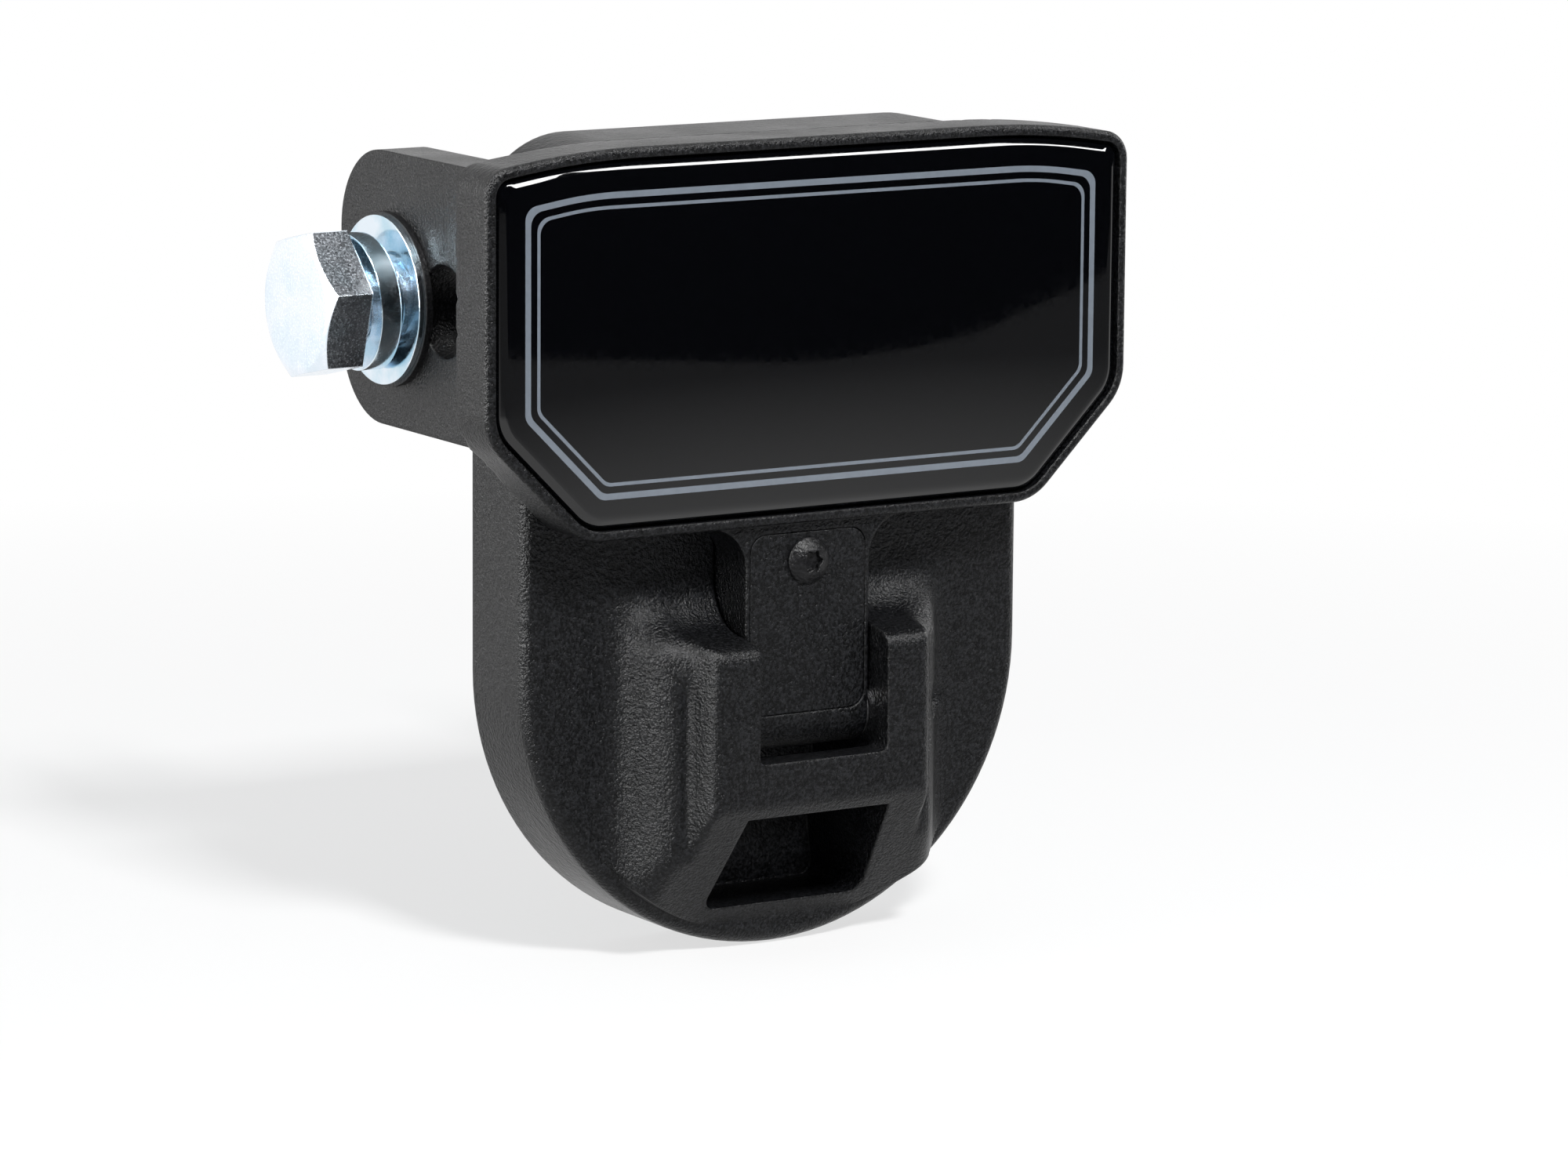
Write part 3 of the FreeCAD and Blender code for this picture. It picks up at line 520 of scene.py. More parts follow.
def field_block(name, keep, low, high):
    """Closed block over the kept cells of the field, between two heights over the plate."""
    wide = len(field_xs)
    cells = [
        (i, j) for j in range(len(field_zs) - 1) for i in range(wide - 1)
        if keep(field_xs[i] + HEIGHT_STEP / 2, field_zs[j] + HEIGHT_STEP / 2)]
    chosen = set(cells)
    number = {}
    points = []

    def corner(i, j, top):
        key = (i, j, top)
        if key not in number:
            number[key] = len(points)
            height = (high if top else low)(i, j)
            points.append((field_xs[i], PLATE_FRONT - height, field_zs[j]))
        return number[key]

    faces = []
    for i, j in cells:
        around = ((i, j), (i + 1, j), (i + 1, j + 1), (i, j + 1))
        faces.append(tuple(corner(a, b, True) for a, b in around))
        faces.append(tuple(corner(a, b, False) for a, b in reversed(around)))
        beside = ((i, j - 1), (i + 1, j), (i, j + 1), (i - 1, j))
        for k, cell in enumerate(beside):
            if cell not in chosen:
                p, q = around[k], around[(k + 1) % 4]
                faces.append((
                    corner(*q, True), corner(*p, True), corner(*p, False), corner(*q, False)))
    return mesh_object(name, points, faces)


def pin_hole():
    """Plug of air that keeps the hinge screw's hole open through the new layer."""
    pin_low, pin_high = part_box("hinge_screw")
    axis = (pin_low + pin_high) / 2
    count = PIN_HOLE_SIDES
    points = []
    for x in (PIN_HOLE_START, FIELD_X):
        for k in range(count):
            angle = 2 * math.pi * k / count
            points.append((
                x, axis.y + PIN_HOLE_RADIUS * math.cos(angle),
                axis.z + PIN_HOLE_RADIUS * math.sin(angle)))
    faces = [tuple(range(count - 1, -1, -1)), tuple(range(count, count * 2))]
    for k in range(count):
        m = (k + 1) % count
        faces.append((k, m, count + m, count + k))
    return mesh_object("pin_hole", points, faces)


def layer_top(i, j):
    """Top of the layer: just over the soft height, or under it where there is none."""
    height = soft_field[j][i]
    if height < SKIN_GAP:
        return height - SKIN_OVER
    return min(height + SKIN_OVER, arm_rise - SKIN_GAP)


def within_plate(x, z):
    """True well inside the plate's outline and clear of the slot and the opening."""
    round_middle = bracket_low.z + bracket_high.x
    inside = z > round_middle or math.hypot(x, z - round_middle) < bracket_high.x - RIM_CLEAR
    return inside and abs(x) > (SLOT_CLEAR if z > DRAIN_TOP else DRAIN_CLEAR)


def blend_bracket():
    """Copy of the bracket with the layer joined to it and the air taken off."""
    body = bpy.data.objects.new("bracket_blended", nodes["mount_bracket"].data.copy())
    bpy.context.scene.collection.objects.link(body)
    joined = bmesh.new()
    joined.from_mesh(body.data)
    bmesh.ops.remove_doubles(joined, verts=joined.verts, dist=WELD_DISTANCE)
    joined.to_mesh(body.data)
    joined.free()
    layer = field_block(
        "socket_layer", within_plate,
        lambda i, j: min(plain_field[j][i], soft_field[j][i]) - SKIN_UNDER, layer_top)
    air = field_block(
        "socket_air", lambda x, z: True,
        lambda i, j: soft_field[j][i] + SKIN_GAP, lambda i, j: arm_rise + AIR_FRONT)
    plug = pin_hole()
    for tool, operation in ((layer, "UNION"), (air, "DIFFERENCE"), (plug, "DIFFERENCE")):
        step = body.modifiers.new(tool.name, "BOOLEAN")
        step.operation = operation
        step.solver = "EXACT"
        step.object = tool
    even = body.modifiers.new("even", "WEIGHTED_NORMAL")
    even.keep_sharp = True
    bpy.context.view_layer.update()
    made = bpy.data.meshes.new_from_object(
        body.evaluated_get(bpy.context.evaluated_depsgraph_get()))
    body.modifiers.clear()
    body.data = made
    for tool in (layer, air, plug):
        bpy.data.objects.remove(tool)
    made.materials.clear()
    made.materials.append(bracket_coat)
    return body


bracket_blended = blend_bracket()
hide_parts("mount_bracket")
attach(bracket_blended, "bracket")
print("casting faces:", len(bracket_blended.data.polygons))

# %% [markdown]
# Several finer pieces are skins stretched over a stack of rings with the same number of points.
# A lathe would do for round ones, but a ring may also be a hexagon or a badge outline.
# This helper joins such rings with quads and closes both ends.

# %% Helpers for a stack of rings
def skin_rings(name, rings):
    """Smooth object through rings of equal length; each end closes with a fan to its middle."""
    count = len(rings[0])
    points = [point for ring in rings for point in ring]
    faces = []
    for layer in range(len(rings) - 1):
        base = layer * count
        for i in range(count):
            j = (i + 1) % count
            faces.append((base + i, base + j, base + count + j, base + count + i))
    for layer, flip in ((0, True), (len(rings) - 1, False)):
        ring = rings[layer]
        middle = sum((Vector(p) for p in ring), Vector()) / count
        hub = len(points)
        points.append(middle)
        for i in range(count):
            a = layer * count + i
            b = layer * count + (i + 1) % count
            faces.append((b, a, hub) if flip else (a, b, hub))
    made = mesh_object(name, points, faces)
    made.data.shade_smooth()
    return made


def sharpen(made, degrees):
    """Keep edges sharper than an angle crisp on a smooth-shaded mesh."""
    mesh = made.data
    limit = math.cos(math.radians(degrees))
    normals = [p.normal.copy() for p in mesh.polygons]
    sides = {}
    for polygon in mesh.polygons:
        for key in polygon.edge_keys:
            sides.setdefault(key, []).append(polygon.index)
    edges = {edge.key: edge for edge in mesh.edges}
    for key, around in sides.items():
        if len(around) == 2 and normals[around[0]].dot(normals[around[1]]) < limit:
            edges[key].use_edge_sharp = True


def value_at(what, where):
    """The value itself, or what a function gives there."""
    return what(where) if callable(what) else what


print("ring helpers ready")

# %% [markdown]
# The badge is a printed film under a lens of clear resin, poured so that it stops at the
# film's edge in a rounded rim. Light runs along that rim as a white line.
# Its outline comes from the solid: straight sides, cut lower corners, and a faintly bowed top.

# %% Measure the badge outline
dome_low, dome_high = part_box("badge_dome")
badge_half = dome_high.x
badge_bottom = dome_low.z
badge_top = dome_high.z
BADGE_CUT = 0.019
BADGE_SLOPE_RUN = 0.019
BADGE_SLOPE_DROP = 0.0029
BADGE_SLOPE_LIFT = 0.0003
BADGE_INSET = 0.0023
CUT_RADIUS = 0.0077
SHOULDER_CORNER = 0.0027
BEND_RADIUS = 0.12
BEND_SHRINK = 8
LEAST_CORNER = 0.0026
CORNER_STEPS = 14
SIDE_STEPS = 24
nick = BADGE_INSET * (math.sqrt(2) - 1)
BADGE_CORNERS = [
    (badge_half + BADGE_INSET - BADGE_CUT - nick, badge_bottom, CUT_RADIUS),
    (badge_half, badge_bottom - BADGE_INSET + BADGE_CUT + nick, CUT_RADIUS),
    (badge_half, badge_top - BADGE_SLOPE_DROP + BADGE_SLOPE_LIFT, SHOULDER_CORNER),
    (badge_half + BADGE_INSET - BADGE_SLOPE_RUN, badge_top, BEND_RADIUS)]


def badge_ring(inset, forward):
    """Points of the badge outline moved inwards by an inset, at a place along Y."""
    right = [Vector((x, z)) for x, z, radius in BADGE_CORNERS]
    radii = [radius for x, z, radius in BADGE_CORNERS]
    corners = right + [Vector((-p.x, p.y)) for p in reversed(right)]
    radii = radii + list(reversed(radii))
    count = len(corners)
    moved = []
    for i in range(count):
        before = (corners[i] - corners[i - 1]).normalized()
        after = (corners[(i + 1) % count] - corners[i]).normalized()
        normal_before = Vector((-before.y, before.x))
        normal_after = Vector((-after.y, after.x))
        bisector = normal_before + normal_after
        moved.append(corners[i] + bisector * (inset / (1 + normal_before.dot(normal_after))))
    arcs = []
    for i in range(count):
        shrink = BEND_SHRINK if radii[i] == BEND_RADIUS else 1
        radius = max(radii[i] - inset * shrink, LEAST_CORNER)
        inward = (moved[i - 1] - moved[i]).normalized()
        outward = (moved[(i + 1) % count] - moved[i]).normalized()
        half = inward.angle(outward) / 2
        middle = moved[i] + (inward + outward).normalized() * (radius / math.sin(half))
        first = moved[i] + inward * (radius / math.tan(half)) - middle
        last = moved[i] + outward * (radius / math.tan(half)) - middle
        swing = first.angle_signed(last)
        arc = []
        for step in range(CORNER_STEPS + 1):
            angle = -swing * step / CORNER_STEPS
            x = first.x * math.cos(angle) - first.y * math.sin(angle)
            z = first.x * math.sin(angle) + first.y * math.cos(angle)
            arc.append(Vector((middle.x + x, forward, middle.y + z)))
        arcs.append(arc)
    points = []
    for arc, following in zip(arcs, arcs[1:] + arcs[:1]):
        points += arc
        for step in range(1, SIDE_STEPS):
            points.append(arc[-1].lerp(following[0], step / SIDE_STEPS))
    return points


# %% [markdown]
# The resin leaves the film steeply, leans back to about thirty degrees and then turns over
# to a top that swells very slightly. The leaning band shows a strip lamp as a thin line, and
# the swell bends the edge of a reflection into the long curve that a flat sheet never shows.
# Two plain pinstripes follow the outline.

# %% Pour the badge dome
# Each part of the rim: length, first and last slope in degrees, steps.
MENISCUS = (
    (0.00012, 90, 75, 2), (0.00095, 75, 33, 8), (0.00080, 31, 29, 4), (0.00050, 28, 0, 8))
CROWN_RISE = 0.00020
TOP_RINGS = 24
RIM_INSETS = (0.0024, 0.0036)
PRINT_INSET = 0.0095
RIPPLE_SCALE = 45.0
RIPPLE_RELIEF = 0.04
RIPPLE_DEPTH = 0.0002
HAZE_SCALE = 900.0
HAZE_TINT = 1.25
GLOSS_LEAST = 0.015
GLOSS_MOST = 0.045
RESIN_SPECULAR = 0.55
RESIN_IOR = 1.52
BADGE_BLACK = (0.0008, 0.0009, 0.0013, 1)
STRIPE_GREY = (0.115, 0.132, 0.155, 1)
STRIPES = ((0.0050, 0.0061), (0.0073, 0.0079))
seam = dome_high.y
brow = dome_low.y + CROWN_RISE
badge_middle_z = (badge_bottom + badge_top) / 2
badge_half_height = (badge_top - badge_bottom) / 2


def swell(point):
    """Lift a point of the dome's top towards the viewer by the crown."""
    u = point.x / badge_half
    w = (point.z - badge_middle_z) / badge_half_height
    lift = CROWN_RISE * max(0.0, 1 - u * u) * max(0.0, 1 - w * w)
    return Vector((point.x, point.y - lift, point.z))


def swell_normal(point):
    """Direction that the swollen top faces at a point."""
    u = point.x / badge_half
    w = (point.z - badge_middle_z) / badge_half_height
    lean_x = 2 * CROWN_RISE * u * (1 - w * w) / badge_half
    lean_z = 2 * CROWN_RISE * w * (1 - u * u) / badge_half_height
    return Vector((lean_x, -1.0, lean_z)).normalized()


def gloss(name, colour):
    """Print seen through clear resin: the colour below, a hard clear gloss above."""
    material, tree, shader = new_material(name)
    spot = add_node(tree, "TexCoord").outputs["Object"]
    ripple = noise(tree, spot, RIPPLE_SCALE, 1.0)
    haze = noise(tree, spot, HAZE_SCALE, 2.0)
    rough = spread(tree, haze, GLOSS_LEAST, GLOSS_MOST, 0.35, 0.65)
    hazy = tuple(c * HAZE_TINT for c in colour[:3]) + (1,)
    tint = blend_colours(tree, haze, colour, hazy)
    bump = add_node(tree, "Bump", [
        ("Strength", RIPPLE_RELIEF), ("Distance", RIPPLE_DEPTH), ("Height", ripple)])
    tree.links.new(tint, shader.inputs["Base Color"])
    tree.links.new(rough, shader.inputs["Roughness"])
    tree.links.new(bump.outputs[0], shader.inputs["Normal"])
    shader.inputs["Specular IOR Level"].default_value = RESIN_SPECULAR
    shader.inputs["IOR"].default_value = RESIN_IOR
    return material


def pour_dome():
    """Dome of rings: up the rounded rim, past the pinstripes and in to the middle."""
    profile = [(0.0, 0.0)]
    for length, first, last, steps in MENISCUS:
        for step in range(steps):
            slope = math.radians(first + (last - first) * (step + 0.5) / steps)
            inset, rise = profile[-1]
            stride = length / steps
            profile.append((inset + stride * math.cos(slope), rise + stride * math.sin(slope)))
    foot = brow + profile[-1][1]
    rings = [badge_ring(0.0, seam)]
    for inset, rise in profile:
        rings.append([swell(p) for p in badge_ring(inset, foot - rise)])
    marks = [edge for stripe in STRIPES for edge in stripe]
    insets = [*RIM_INSETS, *marks, PRINT_INSET]
    first_flat = len(rings)
    for inset in insets:
        rings.append([swell(p) for p in badge_ring(inset, brow)])
    inner = rings[-1]
    for step in range(1, TOP_RINGS):
        share = 1 - step / TOP_RINGS
        rings.append([
            swell(Vector((p.x * share, brow, badge_middle_z + (p.z - badge_middle_z) * share)))
            for p in inner])
    dome = skin_rings("badge_dome_skin", rings)
    dome.data.materials.append(gloss("badge_gloss", BADGE_BLACK))
    dome.data.materials.append(gloss("badge_stripe", STRIPE_GREY))
    around = len(rings[0])
    normals = [corner.vector.copy() for corner in dome.data.vertex_normals]
    for i in range(first_flat * around, len(normals)):
        normals[i] = swell_normal(dome.data.vertices[i].co)
    dome.data.normals_split_custom_set_from_vertices(normals)
    for low, high in STRIPES:
        layer = first_flat + insets.index(low)
        for face in range(layer * around, (layer + 1) * around):
            dome.data.polygons[face].material_index = 1
    return dome


badge_dome_skin = pour_dome()
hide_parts("badge_dome")
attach(badge_dome_skin, "step")
print("badge faces:", len(badge_dome_skin.data.polygons))

# %% [markdown]
# The cross bolt is M16 with a 2 mm thread along its whole length.
# A thread could be bump only, but its edge shows against the light between the cheeks,
# so it is cut for real: one long ribbon of crest, flanks and root wound round the core.

# %% Wind the thread of the cross bolt
bolt_low, bolt_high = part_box("hex_bolt")
bolt_axis = Vector((0, (bolt_low.y + bolt_high.y) / 2, 0))
PITCH = 0.002
CREST = 0.00793
ROOT = 0.00682
TURN_STEPS = 40
HEAD_HEIGHT = 0.0088
TIP_BEVEL = 0.0015
TIP_CLEAR = 0.0008
THREAD_PROFILE = ((0.0, 0.0), (0.38, 1.0), (0.50, 1.0), (0.88, 0.0))


def round_axis(angle, radius, along):
    """Point at an angle round the bolt's axis."""
    return Vector((
        along, bolt_axis.y - radius * math.cos(angle), bolt_axis.z + radius * math.sin(angle)))


def wind_thread(name, start, stop):
    """Ribbon of thread profile wound from start to stop, with its ends run out."""
    total = int((stop - start) / PITCH * TURN_STEPS)
    points = []
    for i in range(total + 1):
        angle = 2 * math.pi * i / TURN_STEPS
        runout = min(1.0, i / TURN_STEPS, (total - i) / TURN_STEPS)
        for share, rise in THREAD_PROFILE:
            along = min(start + (i / TURN_STEPS + share) * PITCH, stop)
            points.append(round_axis(angle, ROOT + (CREST - ROOT) * rise * runout, along))
    wide = len(THREAD_PROFILE)
    faces = []
    for i in range(total):
        for k in range(wide - 1):
            a = i * wide + k
            faces.append((a, a + 1, a + wide + 1, a + wide))
        if i + TURN_STEPS + 1 <= total:
            a = i * wide + wide - 1
            b = (i + TURN_STEPS) * wide
            faces.append((a, b, b + wide, a + wide))
    made = mesh_object(name, points, faces)
    made.data.materials.append(zinc_plate)
    return made


bolt_thread = wind_thread(
    "hex_bolt_thread", bolt_low.x + HEAD_HEIGHT, bolt_high.x - TIP_CLEAR)
print("thread turns:", round((bolt_high.x - bolt_low.x - HEAD_HEIGHT) / PITCH))

# %% [markdown]
# A forged hex head has its corners turned off by a cone, which leaves a curved line on
# every flat. Working the ring out by angle gives those curves without any cutting:
# the radius follows the hexagon, and the bevel's depth follows the radius.

# %% Forge the bolt head and core
HEAD_FLATS = 0.024
HEAD_TURN = math.radians(13)
HEAD_SAMPLES = 180
BEVEL_SLOPE = math.tan(math.radians(30))
FACE_RADIUS = HEAD_FLATS / 2 * 0.955
FACE_MIDDLE = FACE_RADIUS * 0.6
FACE_BREAK = 0.0004
FACE_DROP = 0.00005
COLLAR_HEIGHT = 0.0004
COLLAR_STEP = 0.0005
TIP_RADIUS = ROOT - TIP_BEVEL * 0.6
HEAD_CREASE = 20


def hex_radius(angle):
    """Distance from the axis to the hexagon's side at an angle."""
    sixth = math.radians(60)
    local = (angle - HEAD_TURN) % sixth - sixth / 2
    return HEAD_FLATS / 2 / math.cos(local)


def bevel_place(radius):
    """Place along the bolt where the cone that turned the corners has a radius."""
    return bolt_low.x + (radius - FACE_RADIUS) * BEVEL_SLOPE


def head_ring(radius, along):
    """Ring round the bolt; the radius may go by angle, and the place by radius."""
    ring = []
    for i in range(HEAD_SAMPLES):
        angle = HEAD_TURN + 2 * math.pi * i / HEAD_SAMPLES
        reach = value_at(radius, angle)
        ring.append(round_axis(angle, reach, value_at(along, reach)))
    return ring


def forge_bolt():
    """Bolt of rings, from the middle of the head's face to the tip."""
    outer = bolt_low.x
    seat = outer + HEAD_HEIGHT
    stations = (
        (FACE_MIDDLE, outer),
        (FACE_RADIUS - FACE_BREAK, outer),
        (FACE_RADIUS, outer + FACE_DROP),
        (hex_radius, bevel_place),
        (hex_radius, seat - COLLAR_STEP),
        (FACE_RADIUS, seat - COLLAR_HEIGHT),
        (FACE_RADIUS, seat),
        (ROOT, seat),
        (ROOT, bolt_high.x - TIP_BEVEL),
        (TIP_RADIUS, bolt_high.x))
    bolt = skin_rings("hex_bolt_forged", [head_ring(*station) for station in stations])
    bolt.data.materials.append(zinc_forged)
    sharpen(bolt, HEAD_CREASE)
    return bolt


hex_bolt_forged = forge_bolt()
for piece in (hex_bolt_forged, bolt_thread):
    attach(piece, "bracket")
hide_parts("hex_bolt")
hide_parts("hex_bolt")
print("bolt head samples:", HEAD_SAMPLES)

# %% [markdown]
# The screw in the neck has a low domed head and a six-lobed recess for its driver.
# A boolean cut would leave ragged faces round the lobes, so the lobed edge is one of the
# rings: it drops to the recess floor inwards and spreads into the dome outwards.

# %% Turn the neck screw
screw_low, screw_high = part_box("neck_screw")
screw_middle = (screw_low + screw_high) / 2
cover_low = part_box("neck_cover")[0]
SCREW_SAMPLES = 96
LOBES = 6
LOBE_RADIUS = 0.00175
LOBE_WAVE = 0.00026
RECESS_DEPTH = 0.0014
RECESS_HUB = 0.0004
RECESS_DIP = 0.0003
RECESS_TAPER = 0.94
LOBE_LIP = 0.0001
LOBE_LIP_DROP = 0.00012
SHANK_RADIUS = 0.0019
SCREW_HEAD_RISE = cover_low.y - screw_low.y
SCREW_HEAD_RADIUS = (screw_high.x - screw_low.x) / 2
SCREW_DOME_DROP = SCREW_HEAD_RISE * 0.82
SCREW_DOME_CURVE = 2.2
SCREW_DOME_SHARES = (0.55, 0.64, 0.73, 0.82, 0.9, 0.96, 1.0)
SCREW_CREASE = 35


def lobe_radius(angle):
    """Radius of the six-lobed recess at an angle."""
    return LOBE_RADIUS + LOBE_WAVE * math.cos(LOBES * angle)


def dome_drop(radius):
    """How far the domed head has dropped at a radius."""
    return SCREW_DOME_DROP * (radius / SCREW_HEAD_RADIUS) ** SCREW_DOME_CURVE


def screw_ring(radius, depth):
    """Ring round the screw; the radius may go by angle, the depth under its top by radius."""
    ring = []
    for i in range(SCREW_SAMPLES):
        angle = 2 * math.pi * i / SCREW_SAMPLES
        reach = value_at(radius, angle)
        ring.append(Vector((
            screw_middle.x + reach * math.cos(angle), screw_low.y + value_at(depth, reach),
            screw_middle.z + reach * math.sin(angle))))
    return ring


def turn_screw():
    """Screw of rings: out of the recess, over the dome, under the head and down the shank."""
    stations = [
        (RECESS_HUB, RECESS_DEPTH + RECESS_DIP),
        (lambda angle: lobe_radius(angle) * RECESS_TAPER, RECESS_DEPTH),
        (lobe_radius, lambda radius: dome_drop(radius) + LOBE_LIP_DROP),
        (lambda angle: lobe_radius(angle) + LOBE_LIP, dome_drop)]
    stations += [(SCREW_HEAD_RADIUS * share, dome_drop) for share in SCREW_DOME_SHARES]
    stations += [
        (SCREW_HEAD_RADIUS, SCREW_HEAD_RISE),
        (SHANK_RADIUS, SCREW_HEAD_RISE),
        (SHANK_RADIUS, screw_high.y - screw_low.y)]
    screw = skin_rings("neck_screw_lobed", [screw_ring(*station) for station in stations])
    screw.data.materials.append(black_oxide)
    sharpen(screw, SCREW_CREASE)
    return screw


neck_screw_lobed = turn_screw()
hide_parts("neck_screw")
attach(neck_screw_lobed, "step")

# %% [markdown]
# The floor is a plain pale sheet. It keeps the part's soft shadow, and part of what the
# camera sees of it is a steady white. A backdrop could hide the horizon, but here the white
# share grows with the distance from the part instead, so the floor fades out by itself.
# In a reflection it glows with a painted falloff: an emission that darkens away from the part,
# as a lit floor does in a real studio.

# %% Lay the floor
FLOOR_HALF = 6.0
FLOOR_GAP = 0.0002
FLOOR_GREY = (0.88, 0.88, 0.88, 1)
WHITE = (1, 1, 1, 1)
NEAR_SHARE = 0.68
FADE_START = 0.22
FADE_STOP = 0.50
FALLOFF_NEAR = -0.33
FALLOFF_FAR = -0.62
FALLOFF_DARK = 0.18


def lay_floor():
    """Pale sheet just under the part, white where the camera sees it from afar; in reflections a
    glow with a painted falloff.
    """
    corners = ((-1, -1), (1, -1), (1, 1), (-1, 1))
    floor = mesh_object(
        "floor",
        [(x * FLOOR_HALF, y * FLOOR_HALF, cad_low.z - FLOOR_GAP) for x, y in corners],
        [(0, 1, 2, 3)])
    material, tree, shader = new_material("pale_floor")
    shader.inputs["Base Color"].default_value = FLOOR_GREY
    shader.inputs["Roughness"].default_value = 0.9
    shader.inputs["Specular IOR Level"].default_value = 0.1
    spot = add_node(tree, "TexCoord").outputs["Object"]
    ahead = add_node(tree, "SeparateXYZ", [(0, spot)])
    # Painted falloff: reflections see the floor as a glow that darkens away from the part, in
    # place of a lamp's real falloff.
    painted_falloff = spread(tree, ahead.outputs["Y"], FALLOFF_DARK, 1.0, FALLOFF_FAR, FALLOFF_NEAR)
    away = add_node(tree, "VectorMath", [(0, spot)], operation="LENGTH")
    share = spread(tree, away.outputs["Value"], NEAR_SHARE, 1.0, FADE_START, FADE_STOP)
    rays = add_node(tree, "LightPath")
    glossy = rays.outputs["Is Glossy Ray"]
    tone = blend_colours(tree, glossy, WHITE, painted_falloff)
    white = add_node(tree, "Emission", [("Color", tone), ("Strength", 1.0)])
    seen = calculate(tree, "MULTIPLY", rays.outputs["Is Camera Ray"], share)
    mix = add_node(tree, "MixShader", [
        (0, calculate(tree, "MAXIMUM", seen, glossy)),
        (1, shader.outputs[0]), (2, white.outputs[0])])
    tree.links.new(mix.outputs[0], tree.nodes["Material Output"].inputs["Surface"])
    floor.data.materials.append(material)
    return floor


floor = lay_floor()

# %% [markdown]
# A black part in a white room turns grey, because its gloss shows the walls. Studios stand
# a black card in front of it for that, out of the picture. This one is a tall bent sheet that
# leans over the part. Only reflections see it, so it casts no shadow, and where it meets the
# floor is the long curve that crosses the badge.

# %% Stand the black card
CARD_FOOT = (
    (-1.02, -0.52), (-0.90, -0.76), (-0.50, -1.05), (-0.10, -1.02), (0.15, -0.84),
    (0.312, -0.694), (0.34, -0.669), (0.382, -0.634), (0.455, -0.662), (0.554, -0.742),
    (0.80, -0.90), (1.15, -0.80), (1.30, -0.45), (1.35, -0.05))
# Height over the floor, and how much of the foot line's reach is left there.
CARD_RISE = (
    (0.0, 1.0), (0.30, 0.99), (0.60, 0.92), (0.85, 0.78),
    (1.02, 0.56), (1.10, 0.30), (1.12, 0.12))
CARD_DRAWS = 4
CARD_BLACK = (0.01, 0.01, 0.011, 1)


def stand_card():
    """Sheet through the foot line, repeated up the rise as it closes over the part."""
    foot = [Vector((x, y, 0)) for x, y in CARD_FOOT]
    line = []
    for i in range(len(foot) - 1):
        before = foot[max(i - 1, 0)]
        after = foot[min(i + 2, len(foot) - 1)]
        for step in range(CARD_DRAWS):
            t = step / CARD_DRAWS
            line.append((
                foot[i] * 2 + (foot[i + 1] - before) * t
                + (before * 2 - foot[i] * 5 + foot[i + 1] * 4 - after) * t ** 2
                + (foot[i] * 3 - before - foot[i + 1] * 3 + after) * t ** 3) / 2)
    line.append(foot[-1])
    points = []
    for height, share in CARD_RISE:
        points += [(p.x * share, p.y * share, cad_low.z + height) for p in line]
    wide = len(line)
    faces = []
    for row in range(len(CARD_RISE) - 1):
        for i in range(wide - 1):
            a = row * wide + i
            faces.append((a, a + 1, a + wide + 1, a + wide))
    card = mesh_object("black_card", points, faces)
    card.data.shade_smooth()
    material, tree, shader = new_material("card_black")
    shader.inputs["Base Color"].default_value = CARD_BLACK
    shader.inputs["Roughness"].default_value = 1.0
    shader.inputs["Specular IOR Level"].default_value = 0.0
    card.data.materials.append(material)
    card.visible_camera = False
    card.visible_diffuse = False
    card.visible_shadow = False
    card.visible_transmission = False
    return card


black_card = stand_card()
print("card points:", len(black_card.data.vertices))

# %% [markdown]
# A soft lamp high in front lights the part and lays its shadow back along the floor. Gloss
# needs lamps of its own: panels at the sides and above draw bright edges on the castings, a
# low one and one over the shoulder light the socket's round forms, and a long thin strip draws
# the white line along the top of the badge. Those only show in reflections, so the level of
# the light stays where a colour renders about as it is written.

# %% Hang the lamps
PART = (0, 0, -0.03)
BADGE_EDGE = (0.49, -0.03, 0.03)
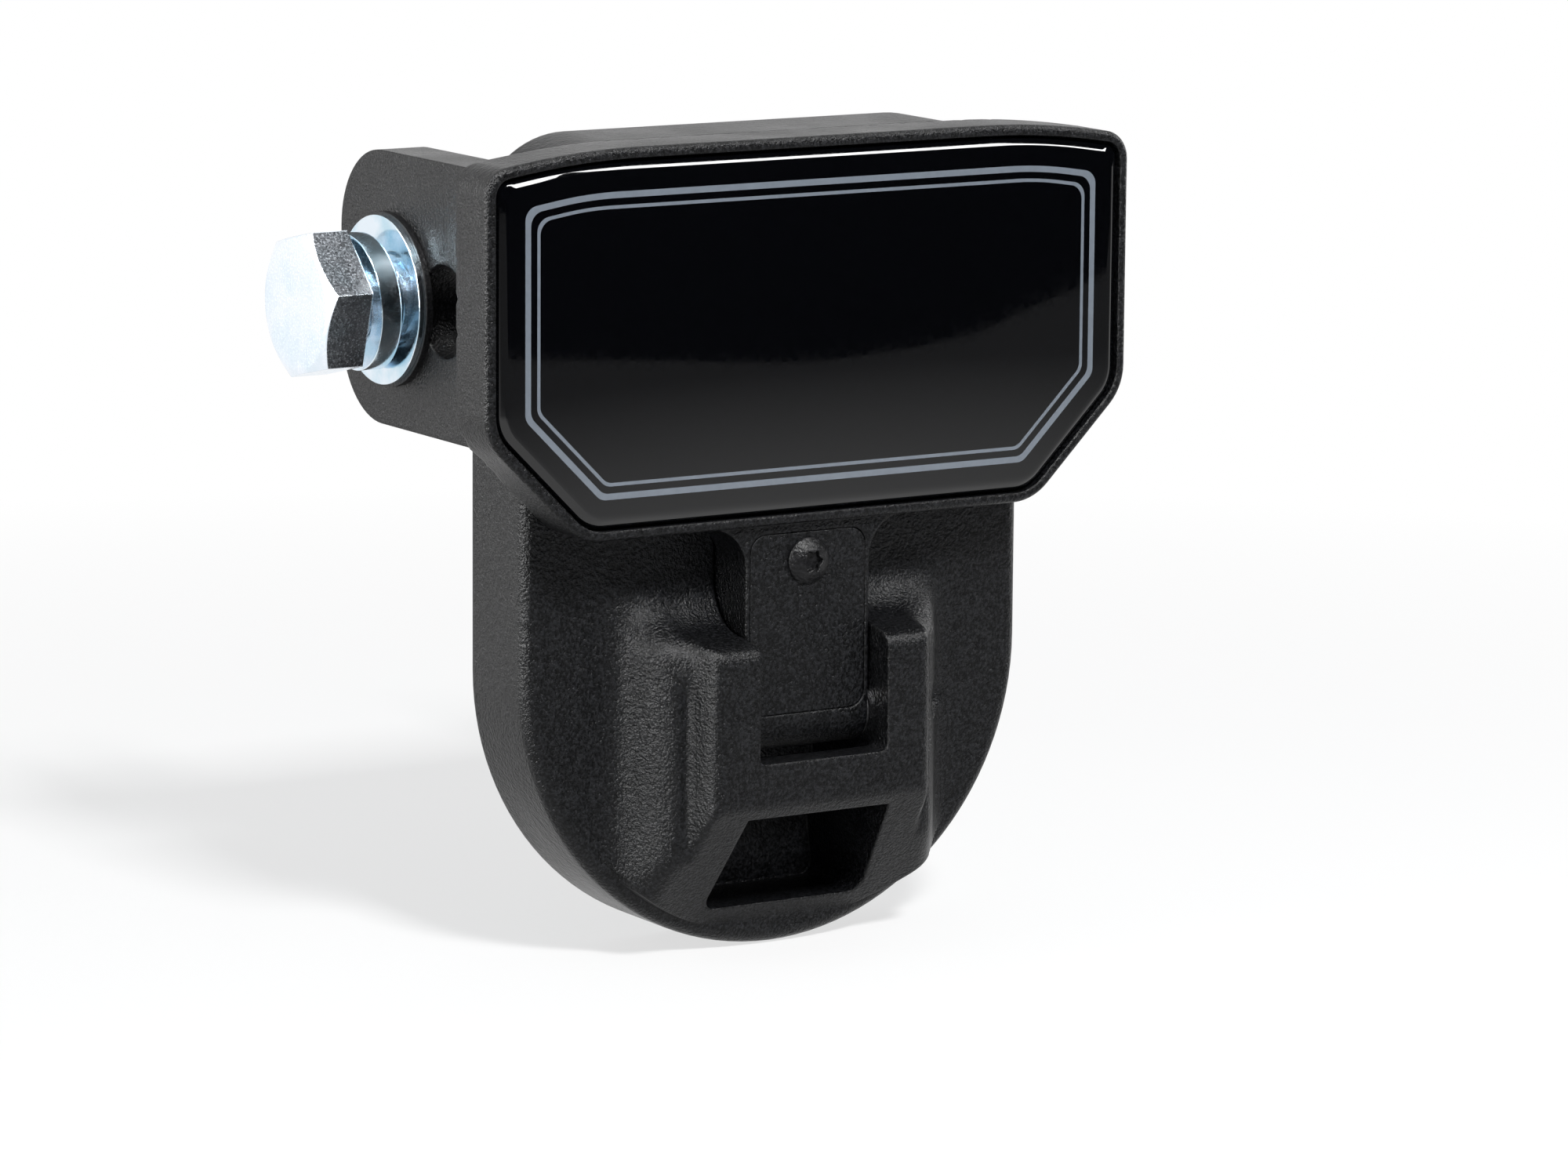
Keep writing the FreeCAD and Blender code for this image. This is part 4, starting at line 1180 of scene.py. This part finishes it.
# Name, place, aim, width, height, watts, and whether it lights or only shows in reflections.
LAMPS = (
    ("front_lamp", (-0.09, -0.99, 0.96), PART, 0.24, 0.24, 23.0, True),
    ("left_panel", (-0.92, 0.40, 0.24), PART, 0.40, 0.70, 16.0, False),
    ("low_panel", (-0.95, -0.19, 0.14), PART, 0.10, 0.50, 15.0, False),
    ("shoulder_panel", (-0.36, -0.24, 0.80), PART, 0.20, 0.20, 15.0, False),
    ("right_panel", (0.95, 0.10, 0.30), PART, 0.20, 0.60, 4.0, False),
    ("top_panel", (0.10, 0.45, 0.90), PART, 0.9, 0.3, 1.0, False),
    ("badge_strip", (0.49, -0.57, 0.63), BADGE_EDGE, 1.1, 0.15, 12.0, False))


def hang_lamp(name, place, aim, width, height, power, lights):
    """Rectangular lamp; one that doesn't light shows only in reflections."""
    data = bpy.data.lights.new(name, "AREA")
    data.shape = "RECTANGLE"
    data.size = width
    data.size_y = height
    data.energy = power
    lamp = bpy.data.objects.new(name, data)
    lamp.location = place
    lamp.rotation_mode = "QUATERNION"
    lamp.rotation_quaternion = (Vector(aim) - Vector(place)).to_track_quat("-Z", "Y")
    lamp.visible_camera = False
    lamp.visible_diffuse = lights
    bpy.context.scene.collection.objects.link(lamp)


for lamp_values in LAMPS:
    hang_lamp(*lamp_values)
print("lamps hung:", len(LAMPS))

# %% [markdown]
# The room is white to the camera, and metal shows it too. For soft light on the part the
# same room counts for less, so that the lamps still give it shape.

# %% Paint the room
ROOM_GREY = (0.32, 0.33, 0.34, 1)


def paint_room():
    """World that is white to the camera and in reflections, and grey as a light."""
    world = bpy.data.worlds.new("room")
    bpy.context.scene.world = world
    world.use_nodes = True
    tree = world.node_tree
    back = tree.nodes["Background"]
    rays = add_node(tree, "LightPath")
    mirror = calculate(
        tree, "MAXIMUM", rays.outputs["Is Glossy Ray"], rays.outputs["Is Transmission Ray"])
    shown = calculate(tree, "MAXIMUM", rays.outputs["Is Camera Ray"], mirror)
    colour = blend_colours(tree, shown, ROOM_GREY, WHITE)
    tree.links.new(colour, back.inputs["Color"])
    back.inputs["Strength"].default_value = 1.0


paint_room()
print("room painted")
